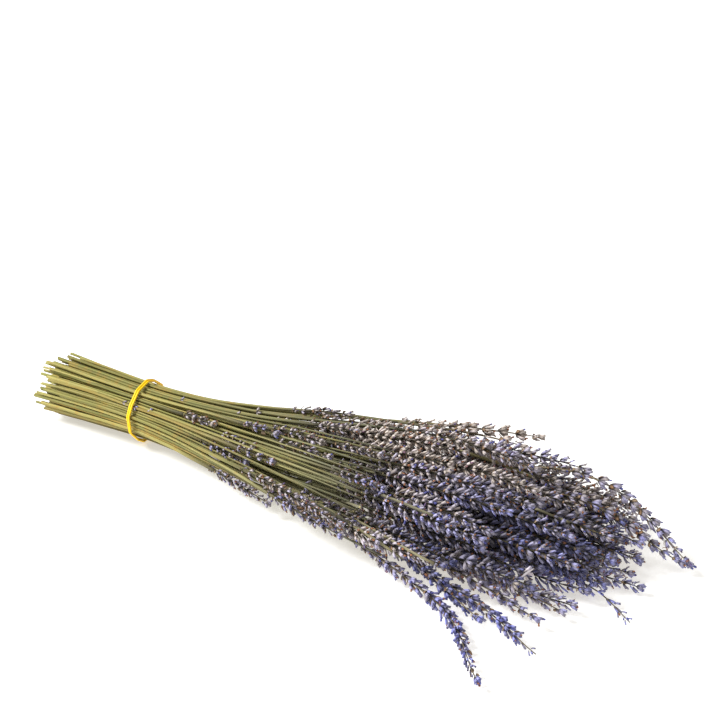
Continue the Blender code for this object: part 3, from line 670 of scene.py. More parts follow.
# Bare stems in the holes between the stalks; each follows the three stalks nearest to it.
def fillerStems(rng):
    places = paths[tieStation]
    spots = holesBetween(places)
    away = distancesOf(spots, places)
    beside = np.argsort(away, axis=1)[:, :3]
    weight = 1 / np.take_along_axis(away, beside, axis=1) ** 2
    weight /= weight.sum(axis=1, keepdims=True)
    offset = spots - (places[beside] * weight[:, :, None]).sum(axis=1)
    rings, count = stems["fillerRings"], len(spots)
    ragged = bunch["cutRagged"] * rng.uniform(*stems["fillerCut"], count)
    start = bunch["cutAt"] + stems["cutBack"] + ragged
    bases = np.where(np.isin(beside, plan["lows"]), np.inf, plan["base"][beside]).min(axis=1)
    byStray = np.isin(beside, plan["strays"]).any(axis=1)
    last = np.where(byStray, stems["fillerStray"], stems["fillerLast"])
    end = np.minimum(bases + rng.uniform(*stems["fillerEnd"], count), last)
    share, further = stems["fillerLong"]
    end += further * np.clip(share - rng.random(count), 0, None) / share
    lines = []
    for number in range(count):
        x = np.linspace(start[number], end[number], rings)
        shares = zip(beside[number], weight[number])
        lines.append(sum(stalkPoints(stalk, x) * part for stalk, part in shares))
    lines = np.stack(lines)
    ahead = lines[:, :, :1] - moved[0] - bunch["tieAt"]
    askew = rng.normal(0, 1, (count, 1, 2)) * np.array(stems["askew"])
    before, after = np.clip(ahead, 0, stems["fanMost"]), np.clip(-ahead, 0, None)
    lines[:, :, 1:] += offset[:, None] * (1 + stems["fan"][0] * before + stems["fan"][1] * after)
    lines[:, :, 1:] += askew * (stems["askewAhead"] * np.clip(ahead, 0, None) + after)
    lines[:, :, 1:] += wobbleOf(rng, count, rings)
    half = rng.uniform(*stems["fillerThick"], (count, 1)) * bunch["stemSide"] / 2
    half = half * np.linspace(1.0, stems["thin"], rings)
    lines[:, :, 2] = np.maximum(lines[:, :, 2], half * stems["corner"])
    roll = rollOf(rng, count, rings)
    # fillers take painted shade over their last stretch in between the flowers
    deep = rise(lines[:, :, 0] - moved[0] - end[:, None], (-stems["fillerDeep"], 0))
    return lines, half, roll, deep, np.zeros_like(deep)


# The thin stalk inside each spike.
def rachises():
    rings, count = stems["rachisRings"], bunch["stalks"]
    fromRoot, fromTip = stems["rachisEnds"]
    lines = stalkLines(np.linspace(plan["base"] + fromRoot, plan["tip"] + fromTip, rings, axis=1))
    half = np.tile(np.linspace(*stems["rachisThick"], rings) * bunch["stemSide"], (count, 1))
    stray = np.isin(np.arange(count), plan["strays"])[:, None] * np.ones(rings)
    # the rachises inside the spikes are wholly in painted shade; those of strays are dry instead
    return lines, half, np.zeros((count, rings)), 1 - stray, stray


# One piece of stems: the cut ends are slanted, every stem gets numbers of its own for its colour,
# and every point its place along and round the stem.
def makeTubes(name, groups, materials, nodes, seed):
    rng = np.random.default_rng(seed)
    points, quads, ends, start = [], [], [], 0
    labels = ("tone", "shade", "along", "around", "ridge", "ripe", "deep", "dry")
    looks = {label: [] for label in labels}
    for (lines, half, roll, deep, dry), sides in groups:
        count, rings = lines.shape[:2]
        grid, corner = squareTube(lines, half, roll, sides)
        tilt = rng.normal(0, stems["cutTilt"], (count, 1, 2))
        grid[:, 0, :, 0] += ((grid[:, 0, :, 1:] - lines[:, :1, 1:]) * tilt).sum(axis=2)
        grid[..., 2] = np.maximum(grid[..., 2], 0.0)
        points.append(grid.reshape(-1, 3))
        body, caps = tubeFaces(count, rings, sides)
        quads.append(body + start)
        ends.append(caps + start)
        start += count * rings * sides
        x = grid[..., 0] - moved[0]
        tone, shade = rng.random((count, 1, 1)), rng.random((count, 1, 1))
        values = (tone, shade, x, np.arange(sides) / sides, corner, rise(x, stems["ripeFrom"]),
                  deep[:, :, None], dry[:, :, None])
        for label, value in zip(labels, values):
            looks[label].append(np.broadcast_to(value, x.shape).ravel())
    looks = {label: np.concatenate(values) for label, values in looks.items()}
    faces = [np.concatenate(quads)] + ends
    kinds = np.concatenate([np.full(len(part), number > 0) for number, part in enumerate(faces)])
    newPiece(name, np.concatenate(points), faces, looks, materials, nodes, kinds)


# Each stem has a colour of its own under streaks, straw patches and blotches. Stems are greyer towards
# the flowers; painted shade makes them browner and darker near the floor and dark in between the
# flowers.
def stemMaterial():
    g = Graph("driedStem")
    tone, ridge, along = g.look("tone"), g.look("ridge"), g.look("along")
    streaks = g.noise(g.vector(g.look("around") * 7.0, along * 26.0, tone * 60.0), 1.0, 3.0, 0.65)
    patches = g.noise(g.vector(along * 34.0, tone * 37.0, 0.0), 1.0, 2.0)
    flecks = g.noise(g.place(), 420.0, 2.0).between(0.62, 0.70)
    blotches = g.noise(g.place(), 130.0, 3.0, 0.65)
    # under: 0 on the floor, 1 from 14 mm up; the mask of the painted shade near the floor
    under = g.node("ShaderNodeSeparateXYZ", {}, (g.place(),), "Z").between(0.0, 0.014)
    colour = g.ramp(tone, ((0.0, stems["green"]), (0.25, stems["olive"]), (0.50, stems["straw"]),
                           (0.68, stems["green"]), (0.88, stems["olive"]), (1.0, stems["gold"])))
    colour = g.mix(patches.between(0.40, 0.70) * 0.7, colour, stems["straw"])
    colour = g.mix(blotches.between(0.52, 0.66) * 0.70, colour, stems["gold"])
    colour = g.mix(blotches.between(0.42, 0.28) * 0.6, colour, stems["green"])
    # painted shade: browner near the floor
    colour = g.mix(under.between(1.0, 0.2) * 0.6, colour, stems["brown"])
    colour = g.mix((g.look("ripe") * (0.40 + tone * 0.85)).kept(), colour, stems["greyGreen"])
    colour = g.mix(g.look("dry"), colour, stems["dry"])
    # painted shade in between the flowers
    colour = g.mix(g.look("deep") * 0.92, colour, stems["shadeBetweenFlowers"])
    colour = g.mix(flecks * 0.45, colour, stems["brown"])
    # ridge: paler corners, a painted highlight where the stem edges catch the light
    value = 0.06 + streaks * 0.60 + ridge * 0.28 + g.look("shade") * 0.40 + blotches * 0.1
    # painted shade: darker near the floor
    colour = g.bright(colour, value * (0.45 + under * 0.55))
    normal = g.bump(streaks + ridge * 0.6, 0.5, 0.0003)
    return g.finish(colour=colour, roughness=0.52 + streaks * 0.3, normal=normal, shine=0.3)


# The cut faces.
def pithMaterial():
    g = Graph("cutPith")
    grain = g.noise(g.place(), 1500.0, 2.0)
    colour = g.mix(grain.between(0.3, 0.7), stems["pith"], stems["straw"])
    return g.finish(colour=colour, roughness=0.8 + grain * 0.15, normal=g.bump(grain, 0.4, 0.0002))


stemRng = np.random.default_rng(stems["seed"])
stemMaterials = [stemMaterial(), pithMaterial()]
stalkTubes = ((stalkStems(stemRng), stems["sides"]), (rachises(), stems["rachisSides"]))
makeTubes("stems_fine", stalkTubes, stemMaterials, ["stems"], seed=3)
fillerTubes = ((fillerStems(stemRng), stems["fillerSides"]),)
makeTubes("stems_between", fillerTubes, stemMaterials, (), seed=4)

spikes = {
    "seed": 29,
    "apartOver": 0.060,  # room on the stem below a spike for looser whorls
    "pathSteps": 100,
    "ringsDown": 0.0012,  # the whorls stand this far below those of the solids
    "fan": (-64, -30, 0, 30, 64),  # degrees: each of two facing cymes holds five calyces
    "fanJitter": 9,
    "calyxLength": 0.0066, "calyxLonger": (0.82, 1.12),
    "calyxWidth": 0.00080, "calyxWider": (0.85, 1.15),
    "splay": (0.88, 1.22),  # radians from the rachis at the root
    "slimSplay": 0.72,  # the slimmer a spike, the nearer its splay comes to this share
    "bend": (0.36, 0.74),  # and this much less at the mouth
    "rootOut": 0.0006,
    "coverReach": 0.014,  # spikes up to this far off, and further out, keep the light away
    "coverBelow": 0.02, "coverShade": 0.52,  # from this far below their flowers, each this much
    "profile": ((0.0, 0.94), (0.3, 1.0), (0.65, 0.98), (1.0, 0.58)),  # size along the spike
    "keep": 0.95,  # share of the calyces that are still there,
    "smallKeep": 0.66, "smallUnder": 0.8,  # and in whorls under this size
    "strayFull": 0.92, "strayKeep": 0.86,
    "lowFull": 0.74, "lowKeep": 0.66, "lowLight": 0.84, "lowHue": 0.25,
    "hue": 0.42, "hueMiddle": 0.005,  # hue of a spike that stands at this place on Y
    "hueSpread": 0.13,
    "nearBluer": 4.4,  # hue grows this much a metre towards the near side,
    "tipBluer": 5.5,  # and this much towards the tips, from none at this place on X
    "blueFrom": 0.11, "blueBehind": -0.07,  # and further back than this it stays as it is
    "plump": 1.18,  # calyces of strays and low spikes are this much wider,
    "closed": 0.80,  # and stand this much closer to the rachis
    "spotJitter": 0.0006,
    "tipBuds": 5, "tipAhead": 0.0028, "tipOut": 0.0003, "tipBend": 0.2,
    "tipLength": (0.0036, 0.0050), "tipWidth": (0.0007, 0.0009), "tipSplay": (0.2, 0.6),
    "apartWhorls": (3, 8),  # so many looser whorls stand below the spike, fewer than the second number
    "lowApart": (0, 3), "apartStep": (0.0056, 0.0086), "apartSize": (0.62, 0.94),
    "bareFrom": {6: 0.187, 7: 0.184},  # strays whose end is nearly bare from this place on X
    "bareKeep": 0.24,
    "bractLength": 0.0046, "bractLonger": (0.7, 1.1),
    "bractWidth": 0.0018, "bractWider": (0.8, 1.1),
    "bractBelow": 0.0006, "bractOut": 0.0009, "bractSplay": (0.9, 1.2), "bractBend": (0.5, 0.9),
    "corollaShare": 0.34, "corollaAt": 0.86,  # how many calyces hold one, and how far out in them
    "corollaLength": (0.32, 0.55), "corollaWidth": (0.7, 1.1), "corollaTilt": 0.3, "corollaBend": 0.5,
    "overFloor": 0.0002,  # no point lies lower
    "greyBeige": (0.362, 0.303, 0.258),
    "lilac": (0.215, 0.195, 0.262),
    "violet": (0.082, 0.090, 0.310),
    "paleWarm": (0.600, 0.535, 0.490),
    "paleCool": (0.375, 0.388, 0.710),
    # painted shade where the calyces and bracts meet the rachis
    "paintedRootShade": (0.026, 0.024, 0.023),
    "bractBrown": (0.300, 0.150, 0.065),
    "bractPale": (0.420, 0.310, 0.200),
    "corollaBlue": (0.120, 0.125, 0.370),
    "corollaBrown": (0.340, 0.150, 0.075),
    "leafPale": (0.400, 0.365, 0.370),
    "leafGrey": (0.330, 0.300, 0.330),
}

# A bud is a tube of a few rings between a root point and an end point: place along it, half width,
# half thickness, all as shares; "teeth" draws every second corner of the last ring out.
budShapes = {
    "calyx": {"rings": ((0.14, 0.52, 0.52), (0.55, 0.92, 0.90), (0.97, 1.00, 0.96)), "sides": 6,
              "end": 0.84, "teeth": 0.12},
    "bract": {"rings": ((0.30, 1.0, 0.16), (0.68, 0.75, 0.13)), "sides": 4, "end": 1.0, "teeth": 0.0},
    "corolla": {"rings": ((0.30, 0.75, 0.55), (0.75, 1.0, 0.70)), "sides": 4, "end": 1.0, "teeth": 0.1},
    "leaf": {"rings": ((0.10, 0.55, 0.12), (0.35, 1.0, 0.12), (0.65, 0.85, 0.10), (0.88, 0.45, 0.08)),
             "sides": 6, "end": 1.0, "teeth": 0.0},
}


# Buds from arrays: the axis of a bud leaves along by the angle splay towards outward and bends back
# by bend on its way, and the rings of its shape stand square round it.
def makeBuds(shape, root, along, outward, length, width, splay, bend):
    count = len(root)
    side = np.cross(along, outward)
    rings = np.array(shape["rings"])
    sides = shape["sides"]
    column = np.arange(sides)
    lastRing = (np.arange(len(rings)) == len(rings) - 1)[:, None]
    share = rings[:, :1] + np.where(column % 2 == 0, shape["teeth"], 0.0) * lastRing
    share = np.concatenate([[0.0], share.ravel(), [shape["end"]]])
    theta = np.tile(column * 2 * math.pi / sides, len(rings))
    wide = np.concatenate([[0.0], np.repeat(rings[:, 1], sides) * np.sin(theta), [0.0]])
    thick = np.concatenate([[0.0], np.repeat(rings[:, 2], sides) * np.cos(theta), [0.0]])
    angle = splay[:, None] - bend[:, None] * share / 2
    turned = splay[:, None] - bend[:, None] * share
    ahead = length[:, None] * share * np.cos(angle) - thick * width[:, None] * np.sin(turned)
    out = length[:, None] * share * np.sin(angle) + thick * width[:, None] * np.cos(turned)
    points = (root[:, None] + ahead[..., None] * along[:, None] + out[..., None] * outward[:, None]
              + (wide * width[:, None])[..., None] * side[:, None])
    a, b = column + 1, (column + 1) % sides + 1
    last = (len(rings) - 1) * sides
    quads = np.concatenate([np.stack([a + k, a + k + sides, b + k + sides, b + k], axis=1)
                            for k in range(0, last, sides)])
    fans = np.concatenate([np.stack([np.zeros(sides, int), a, b], axis=1),
                           np.stack([a + last, np.full(sides, last + sides + 1), b + last], axis=1)])
    start = (np.arange(count) * len(share))[:, None, None]
    rib = np.concatenate([[0.5], np.tile(column % 2, len(rings)), [0.0]])
    looks = {"reach": np.broadcast_to(share, (count, len(share))).ravel(),
             "rib": np.broadcast_to(rib, (count, len(share))).ravel()}
    return (points.reshape(-1, 3), (quads[None] + start).reshape(-1, 4),
            (fans[None] + start).reshape(-1, 3), looks, len(share))


# Places, directions, number and size of the whorls of one stalk, from the root of its spike to the
# tip, and the share of the buds that each keeps.
def whorlsOf(stalk, rng):
    below = plan["base"][stalk] - spikes["apartOver"]
    x = np.linspace(below, plan["tip"][stalk], spikes["pathSteps"])
    points = stalkPoints(stalk, x)
    axes = axesOf(points)
    run = np.concatenate([[0], np.cumsum(np.linalg.norm(np.diff(points, axis=0), axis=1))])
    start = np.interp(plan["base"][stalk] + bunch["gap"], x, run)
    room = run[-1] - start - bunch["rootLength"] - bunch["tipLength"]
    rings = max(3, round(room / plan["pitch"][stalk]))
    spots = np.linspace(start + bunch["rootLength"], run[-1] - bunch["tipLength"], rings)
    spots = spots - spikes["ringsDown"]
    number = np.arange(rings)
    size = np.interp(number / (rings - 1), *zip(*spikes["profile"]))
    apart = rng.integers(*spikes["lowApart" if stalk in plan["lows"] else "apartWhorls"])
    below = start - np.cumsum(rng.uniform(*spikes["apartStep"], apart))
    spots = np.concatenate([below[::-1], spots])
    number = np.concatenate([np.arange(-apart, 0), number])
    size = np.concatenate([np.linspace(*spikes["apartSize"], apart), size])
    centre, along, side, up = (
        np.stack([np.interp(spots, run, column) for column in part.T], axis=1)
        for part in (points, *axes))
    keep = np.where(size < spikes["smallUnder"], spikes["smallKeep"], spikes["keep"])
    if stalk in plan["lows"]:
        keep = keep * spikes["lowKeep"]
    if stalk in plan["strays"]:
        keep = keep * spikes["strayKeep"]
        bareFrom = spikes["bareFrom"].get(plan["strays"].index(stalk), math.inf)
        keep = np.where(centre[:, 0] - moved[0] > bareFrom, spikes["bareKeep"], keep)
    return centre, along, side, up, number, size, keep


# How much light reaches points of a stalk: less with each spike that lies further out beside them.
def lightAt(stalk, centre):
    x = centre[:, 0] - moved[0]
    station = np.round((x - plan["x"][0]) / bunch["step"]).astype(int)
    here = centre[:, 1:] - moved[1:]
    room = np.stack(roomAt(x)[:2], axis=1)
    outward = (here - paths[station].mean(axis=1)) / room**2
    outward /= np.linalg.norm(outward, axis=1, keepdims=True) + tiny
    across = paths[station] - here[:, None]
    away = np.linalg.norm(across, axis=2) + tiny
    facing = np.clip((across * outward[:, None]).sum(axis=2) / away, 0, 1) ** 2
    beside = (away < spikes["coverReach"]) & (x[:, None] < plan["tip"])
    beside &= x[:, None] > plan["base"] - spikes["coverBelow"]
    beside[:, stalk] = False
    return np.exp(-spikes["coverShade"] * (facing * beside).sum(axis=1))


# The outward direction at these angles round the whorls.
def outwardAt(angle, side, up):
    return np.cos(angle)[:, None] * side + np.sin(angle)[:, None] * up


# All buds of one spike: kind, arrays for makeBuds, and light.
def floretsOf(stalk, rng):
    centre, along, side, up, number, size, keep = whorlsOf(stalk, rng)
    light = lightAt(stalk, centre)
    slight = spikes["strayFull"] if stalk in plan["strays"] else 1.0
    if stalk in plan["lows"]:
        slight = spikes["lowFull"]
        light = light * spikes["lowLight"]
    plump, closed = (spikes["plump"], spikes["closed"]) if slight < 1 else (1.0, 1.0)
    stout = plan["radius"][stalk] / bunch["spikeRadius"][1]
    turn = stalk * goldenAngle + bunch["twist"] * (number + 1) + math.pi / 2 * ((number + 1) % 2)
    fan = np.radians(spikes["fan"])
    angle = (turn[:, None, None] + np.array([0, math.pi])[:, None] + fan).reshape(len(number), -1)
    angle = angle + np.radians(spikes["fanJitter"]) * rng.normal(size=angle.shape)
    whorl = np.repeat(np.arange(len(number)), angle.shape[1])
    kept = rng.random(len(whorl)) < keep[whorl]
    whorl, angle = whorl[kept], angle.ravel()[kept]
    full = size[whorl] * slight
    count = len(whorl)
    outward = outwardAt(angle, side[whorl], up[whorl])
    jitter = rng.normal(size=count) * spikes["spotJitter"]
    lit = light[whorl]
    opened = (spikes["slimSplay"] + (1 - spikes["slimSplay"]) * stout) * closed
    calyx = dict(root=centre[whorl] + along[whorl] * jitter[:, None] + outward * spikes["rootOut"],
                 along=along[whorl], outward=outward,
                 length=spikes["calyxLength"] * full * rng.uniform(*spikes["calyxLonger"], count),
                 width=spikes["calyxWidth"] * full * plump * rng.uniform(*spikes["calyxWider"], count),
                 splay=rng.uniform(*spikes["splay"], count) * opened,
                 bend=rng.uniform(*spikes["bend"], count))
    if keep[-1] > spikes["bareKeep"]:
        buds = spikes["tipBuds"]
        outward = outwardAt(turn[-1] + np.arange(buds) * 2 * math.pi / buds, side[-1], up[-1])
        tip = dict(root=centre[-1] + along[-1] * spikes["tipAhead"] + outward * spikes["tipOut"],
                   along=np.repeat(along[-1:], buds, axis=0), outward=outward,
                   length=rng.uniform(*spikes["tipLength"], buds),
                   width=rng.uniform(*spikes["tipWidth"], buds),
                   splay=rng.uniform(*spikes["tipSplay"], buds),
                   bend=np.full(buds, spikes["tipBend"]))
        calyx = {key: np.concatenate([calyx[key], tip[key]]) for key in calyx}
        lit = np.concatenate([lit, np.full(buds, light[-1])])
    cyme = np.repeat(np.flatnonzero(keep > spikes["bareKeep"]), 2)
    outward = outwardAt(turn[cyme] + np.arange(len(cyme)) % 2 * math.pi, side[cyme], up[cyme])
    count, small = len(cyme), size[cyme]
    below = along[cyme] * spikes["bractBelow"]
    bract = dict(root=centre[cyme] - below + outward * spikes["bractOut"],
                 along=along[cyme], outward=outward,
                 length=spikes["bractLength"] * small * rng.uniform(*spikes["bractLonger"], count),
                 width=spikes["bractWidth"] * small * rng.uniform(*spikes["bractWider"], count),
                 splay=rng.uniform(*spikes["bractSplay"], count),
                 bend=rng.uniform(*spikes["bractBend"], count))
    chosen = np.flatnonzero(rng.random(len(calyx["root"])) < spikes["corollaShare"])
    parts = {key: value[chosen] for key, value in calyx.items()}
    count = len(chosen)
    angle = parts["splay"] - parts["bend"] / 2
    ahead = np.cos(angle)[:, None] * parts["along"] + np.sin(angle)[:, None] * parts["outward"]
    mouth = parts["length"][:, None] * spikes["corollaAt"] * ahead
    corolla = dict(root=parts["root"] + mouth, along=parts["along"], outward=parts["outward"],
                   length=parts["length"] * rng.uniform(*spikes["corollaLength"], count),
                   width=parts["width"] * rng.uniform(*spikes["corollaWidth"], count),
                   splay=parts["splay"] - parts["bend"]
                   + rng.normal(size=count) * spikes["corollaTilt"],
                   bend=rng.normal(size=count) * spikes["corollaBend"])
    return ("calyx", calyx, lit), ("bract", bract, light[cyme]), ("corolla", corolla, lit[chosen])


# The hue of a spike, 0 grey beige and 1 blue violet: bluer on the near side and for the low ones.
def hueOf(stalk, rng):
    middle = stalkPoints(stalk, np.array([(plan["base"][stalk] + plan["tip"][stalk]) / 2]))[0]
    hue = spikes["hue"] - spikes["nearBluer"] * (middle[1] - spikes["hueMiddle"])
    hue += spikes["lowHue"] * (stalk in plan["lows"])
    return float(hue + rng.normal() * spikes["hueSpread"])


# The hue of each bud of a spike: bluer towards the tips of the bunch.
def budHues(hue, roots):
    ahead = np.maximum(roots[:, 0] - moved[0] - spikes["blueFrom"], spikes["blueBehind"])
    return np.clip(hue + spikes["tipBluer"] * ahead, 0.0, 1.0)


# One piece from lists of (kind, arrays, light, hue). The kinds are the material slots, in the order
# of budShapes.
def buildBuds(name, groups, materials, nodes, seed):
    rng = np.random.default_rng(seed)
    points, quads, fans, kindsOfQuads, kindsOfFans, start = [], [], [], [], [], 0
    looks = {label: [] for label in ("reach", "rib", "tone", "hue", "lit")}
    order = list(budShapes)
    for kind, arrays, light, hue in groups:
        made, four, three, look, each = makeBuds(budShapes[kind], **arrays)
        look["tone"] = np.repeat(rng.random(len(light)), each)
        look["hue"] = np.repeat(np.broadcast_to(hue, len(light)), each)
        look["lit"] = np.repeat(light, each)
        points.append(made)
        for part, faces, kinds in ((four, quads, kindsOfQuads), (three, fans, kindsOfFans)):
            faces.append(part + start)
            kinds.append(np.full(len(part), order.index(kind)))
        for label, values in look.items():
            looks[label].append(values)
        start += len(made)
    points = np.concatenate(points)
    points[:, 2] = np.maximum(points[:, 2], spikes["overFloor"])
    looks = {label: np.concatenate(values) for label, values in looks.items()}
    newPiece(name, points, [np.concatenate(quads), np.concatenate(fans)], looks, materials,
             nodes, np.concatenate(kindsOfQuads + kindsOfFans))


# Ribbed and downy: paler on the ribs and at the mouth. Painted shade: dark at the root, and bluer and
# darker where less light reaches; painted light: brighter where beige, darker where blue.
def calyxMaterial():
    g = Graph("driedCalyx")
    reach, rib, tone, hue = g.look("reach"), g.look("rib"), g.look("tone"), g.look("hue")
    fuzz = g.noise(g.place(), 1400.0, 2.0, 0.6)
    patches = g.noise(g.place(), 150.0, 2.0)
    # blueWithShade: the hue, plus painted shade that turns buds bluer where less light reaches
    blueWithShade = (hue + (tone - 0.5) * 0.50 + (patches - 0.5) * 0.9 + (0.7 - g.look("lit")) * 0.45).kept()
    colour = g.ramp(blueWithShade, ((0.0, spikes["greyBeige"]), (0.5, spikes["lilac"]), (1.0, spikes["violet"])))
    tip = g.mix(blueWithShade, spikes["paleWarm"], spikes["paleCool"])
    # painted shade: dark at the root
    colour = g.mix(reach.between(0.66, 0.12) * 0.95, colour, spikes["paintedRootShade"])
    pale = reach.between(0.45, 0.95) * 0.50 + rib * reach.between(0.15, 0.6) * 0.50
    colour = g.mix((pale * (0.42 + fuzz * 0.8)).kept(), colour, tip)
    # painted light and shade: darker with less light and where bluer, brighter where beige
    colour = g.bright(colour, (0.72 + tone * 0.90 + fuzz * 0.25) * (1.07 - blueWithShade * 0.18) * g.look("lit"))
    normal = g.bump(fuzz + rib * 0.5, 0.5, 0.0002)
    return g.finish(colour=colour, roughness=0.78 + fuzz * 0.15, normal=normal, shine=0.25, sheen=0.1)


# Brown and papery, with veins; dark at the root and darker where less light reaches: painted shade.
def bractMaterial():
    g = Graph("driedBract")
    tone, reach = g.look("tone"), g.look("reach")
    veins = g.noise(g.place(), 900.0, 3.0, 0.6)
    colour = g.mix((tone * 0.8 + veins * 0.4).kept(), spikes["bractBrown"], spikes["bractPale"])
    # painted shade: dark at the root
    colour = g.mix(reach.between(0.7, 0.1) * 0.8, colour, spikes["paintedRootShade"])
    colour = g.bright(colour, (0.60 + veins * 0.5 + reach * 0.15) * g.look("lit"))
    normal = g.bump(veins, 0.5, 0.0002)
    return g.finish(colour=colour, roughness=0.7 + veins * 0.2, normal=normal, shine=0.3)


# Withered flowers, blue where the spike is blue and brown elsewhere.
def corollaMaterial():
    g = Graph("witheredCorolla")
    tone, hue = g.look("tone"), g.look("hue")
    folds = g.noise(g.place(), 1100.0, 3.0, 0.6)
    browner = (tone * 1.5 - hue * 0.9).between(0.10, 0.45)
    colour = g.mix(browner, spikes["corollaBlue"], spikes["corollaBrown"])
    colour = g.bright(colour, (0.6 + folds * 0.8) * g.look("lit"))
    normal = g.bump(folds, 0.6, 0.0003)
    return g.finish(colour=colour, roughness=0.75 + folds * 0.2, normal=normal, shine=0.3)


# Narrow pale grey leaves.
def leafMaterial():
    g = Graph("driedLeaf")
    tone, reach = g.look("tone"), g.look("reach")
    grain = g.noise(g.place(), 800.0, 3.0, 0.6)
    colour = g.mix(tone, spikes["leafPale"], spikes["leafGrey"])
    colour = g.bright(colour, 0.75 + grain * 0.5 - reach * 0.1)
    normal = g.bump(grain, 0.5, 0.0002)
    return g.finish(colour=colour, roughness=0.75 + grain * 0.2, normal=normal, shine=0.25)


floretMaterials = [calyxMaterial(), bractMaterial(), corollaMaterial(), leafMaterial()]
tintNames = ("grey", "lilac", "beige", "violet")


# Four pieces, one for each tint of the solids, which are numbered in this order.
def makeSpikes():
    rng = np.random.default_rng(spikes["seed"])
    paired = {stalk for pair in plan["pairs"] for stalk in pair}
    owners = [(f"spike_pair_{n:02d}", n, pair) for n, pair in enumerate(plan["pairs"], 1)]
    alone = [stalk for stalk in range(bunch["stalks"]) if stalk not in paired]
    owners += [(f"spike_{n:02d}", n, (stalk,)) for n, stalk in enumerate(alone, 1)]
    for tint, tintName in enumerate(tintNames):
        groups, nodes = [], []
        for node, number, stalks in owners:
            if number % bunch["tints"] == tint:
                nodes.append(node)
                for stalk in stalks:
                    hue = hueOf(stalk, rng)
                    groups += [(kind, arrays, light, budHues(hue, arrays["root"]))
                               for kind, arrays, light in floretsOf(stalk, rng)]
        buildBuds(f"spikes_{tintName}", groups, floretMaterials, nodes, seed=tint)


makeSpikes()

view = {
    "camera": (0.57332, -0.74555, 0.45871),  # before the layout was moved to the origin
    "aim": (-0.00754, 0.03798, 0.07971),
    "lens": 85.0,
    "sensor": 36.0,
    "photo": 720,  # the photograph's width and height in pixels
}


# Turns a camera or lamp towards a point.
def lookAt(thing, target):
    thing.rotation_euler = (target - thing.location).to_track_quat("-Z", "Y").to_euler()


camera = newObject("camera", bpy.data.cameras.new("camera"))
camera.data.lens = view["lens"]
camera.data.sensor_width = view["sensor"]
camera.location = Vector(view["camera"]) + Vector(moved)
aim = Vector(view["aim"]) + Vector(moved)
lookAt(camera, aim)
bpy.context.scene.camera = camera

# Single florets, broken bits and narrow leaves that lie loose on the stems and flowers.
bits = {
    "seed": 53,
    # pixel of the photograph, number of buds, size, hue
    "florets": (
        (199, 408, 3, 0.9, 0.45), (122, 402, 2, 0.6, 0.9), (134, 406, 2, 0.6, 0.9),
        (150, 409, 2, 0.7, 0.7), (236, 414, 3, 0.7, 0.3), (256, 412, 3, 0.8, 0.4),
        (267, 415, 2, 0.7, 0.3), (289, 423, 3, 0.8, 0.5), (330, 477, 4, 1.1, 0.2),
        (345, 460, 3, 0.9, 0.3), (310, 441, 2, 0.8, 0.4), (223, 455, 2, 0.7, 0.6),
        (243, 472, 2, 0.7, 0.4), (262, 490, 2, 0.8, 0.5), (286, 470, 2, 0.8, 0.3),
        (300, 495, 3, 0.9, 0.5), (242, 445, 2, 0.7, 0.2), (180, 400, 2, 0.6, 0.5),
        (352, 500, 3, 0.9, 0.4), (375, 540, 3, 1.0, 0.5), (415, 505, 3, 1.0, 0.3),
        (444, 470, 3, 1.0, 0.1), (500, 520, 3, 1.0, 0.6), (535, 500, 3, 1.0, 0.5),
        (316, 493, 4, 1.0, 0.5), (326, 499, 3, 0.9, 0.3), (338, 503, 4, 1.0, 0.4),
        (304, 484, 3, 0.9, 0.5), (523, 573, 3, 0.9, 0.2), (512, 583, 3, 0.9, 0.2),
        (560, 525, 3, 1.0, 0.8), (465, 560, 3, 1.0, 0.6),
    ),
    # pixels of root and tip, half width, hue
    "blades": (
        (374, 462, 398, 447, 0.0010, 0.5), (521, 577, 535, 568, 0.0011, 0.1),
        (505, 588, 519, 579, 0.0011, 0.1), (318, 512, 345, 530, 0.0007, 0.2),
        (205, 452, 222, 462, 0.0006, 0.1), (92, 412, 108, 421, 0.0006, 0.1),
    ),
    "floretLength": 0.0062, "floretWidth": 0.0010, "floretSize": (0.8, 1.1),
    "floretTurn": (-0.6, 0.6), "floretFan": 0.8,  # radians, and from bud to bud
    "floretSplay": (0.15, 0.55), "floretBend": (0.0, 0.4),
    "bladeSplay": 0.12, "bladeBend": 0.25,
    "tipNearer": 0.004,  # blades rise towards the camera by this much
    "sunk": 0.0004,
    "samples": 160,
    "core": 0.8,  # share of a spike's radius where things come to lie
}


# Directions of the rays from the camera through these pixels of the photograph.
def raysThrough(pixels):
    ahead = unitOf(np.array(aim) - np.array(camera.location))
    right = unitOf(np.cross(ahead, (0.0, 0.0, 1.0)))
    place = (np.asarray(pixels, float) / (view["photo"] / 2) - 1) * view["sensor"] / 2 / view["lens"]
    return unitOf(ahead + place[:, :1] * right - place[:, 1:] * np.cross(right, ahead))


# Where the rays first meet a stalk or spike: which do, how far off, the spot, the direction of the
# stalk there, and the direction from its middle to the spot.
def spotsUnder(pixels):
    start, ray = np.array(camera.location), raysThrough(pixels)
    share = np.linspace(0, 1, bits["samples"])
    x = plan["cut"][:, None] + (plan["tip"] - plan["cut"])[:, None] * share
    inSpike = plan["radius"][:, None] * bits["core"]
    radius = np.where(x < plan["base"][:, None], bunch["stemSide"] / 2, inSpike).ravel()
    lines = stalkLines(x)
    directions = axesOf(lines)[0].reshape(-1, 3)
    middles = lines.reshape(-1, 3)
    depth = (middles - start) @ ray.T
    off = np.linalg.norm(middles - start, axis=1)[:, None] ** 2 - depth**2
    hit = off < (radius**2)[:, None]
    front = np.where(hit, depth - np.sqrt(np.clip(radius[:, None] ** 2 - off, 0, None)), np.inf)
    chosen = front.argmin(axis=0)
    front = front[chosen, np.arange(len(chosen))]
    found = np.isfinite(front)
    spot = start + ray[found] * front[found, None]
    outward = unitOf(spot - middles[chosen[found]])
    return dict(found=found, front=front, spot=spot, along=directions[chosen[found]], outward=outward)


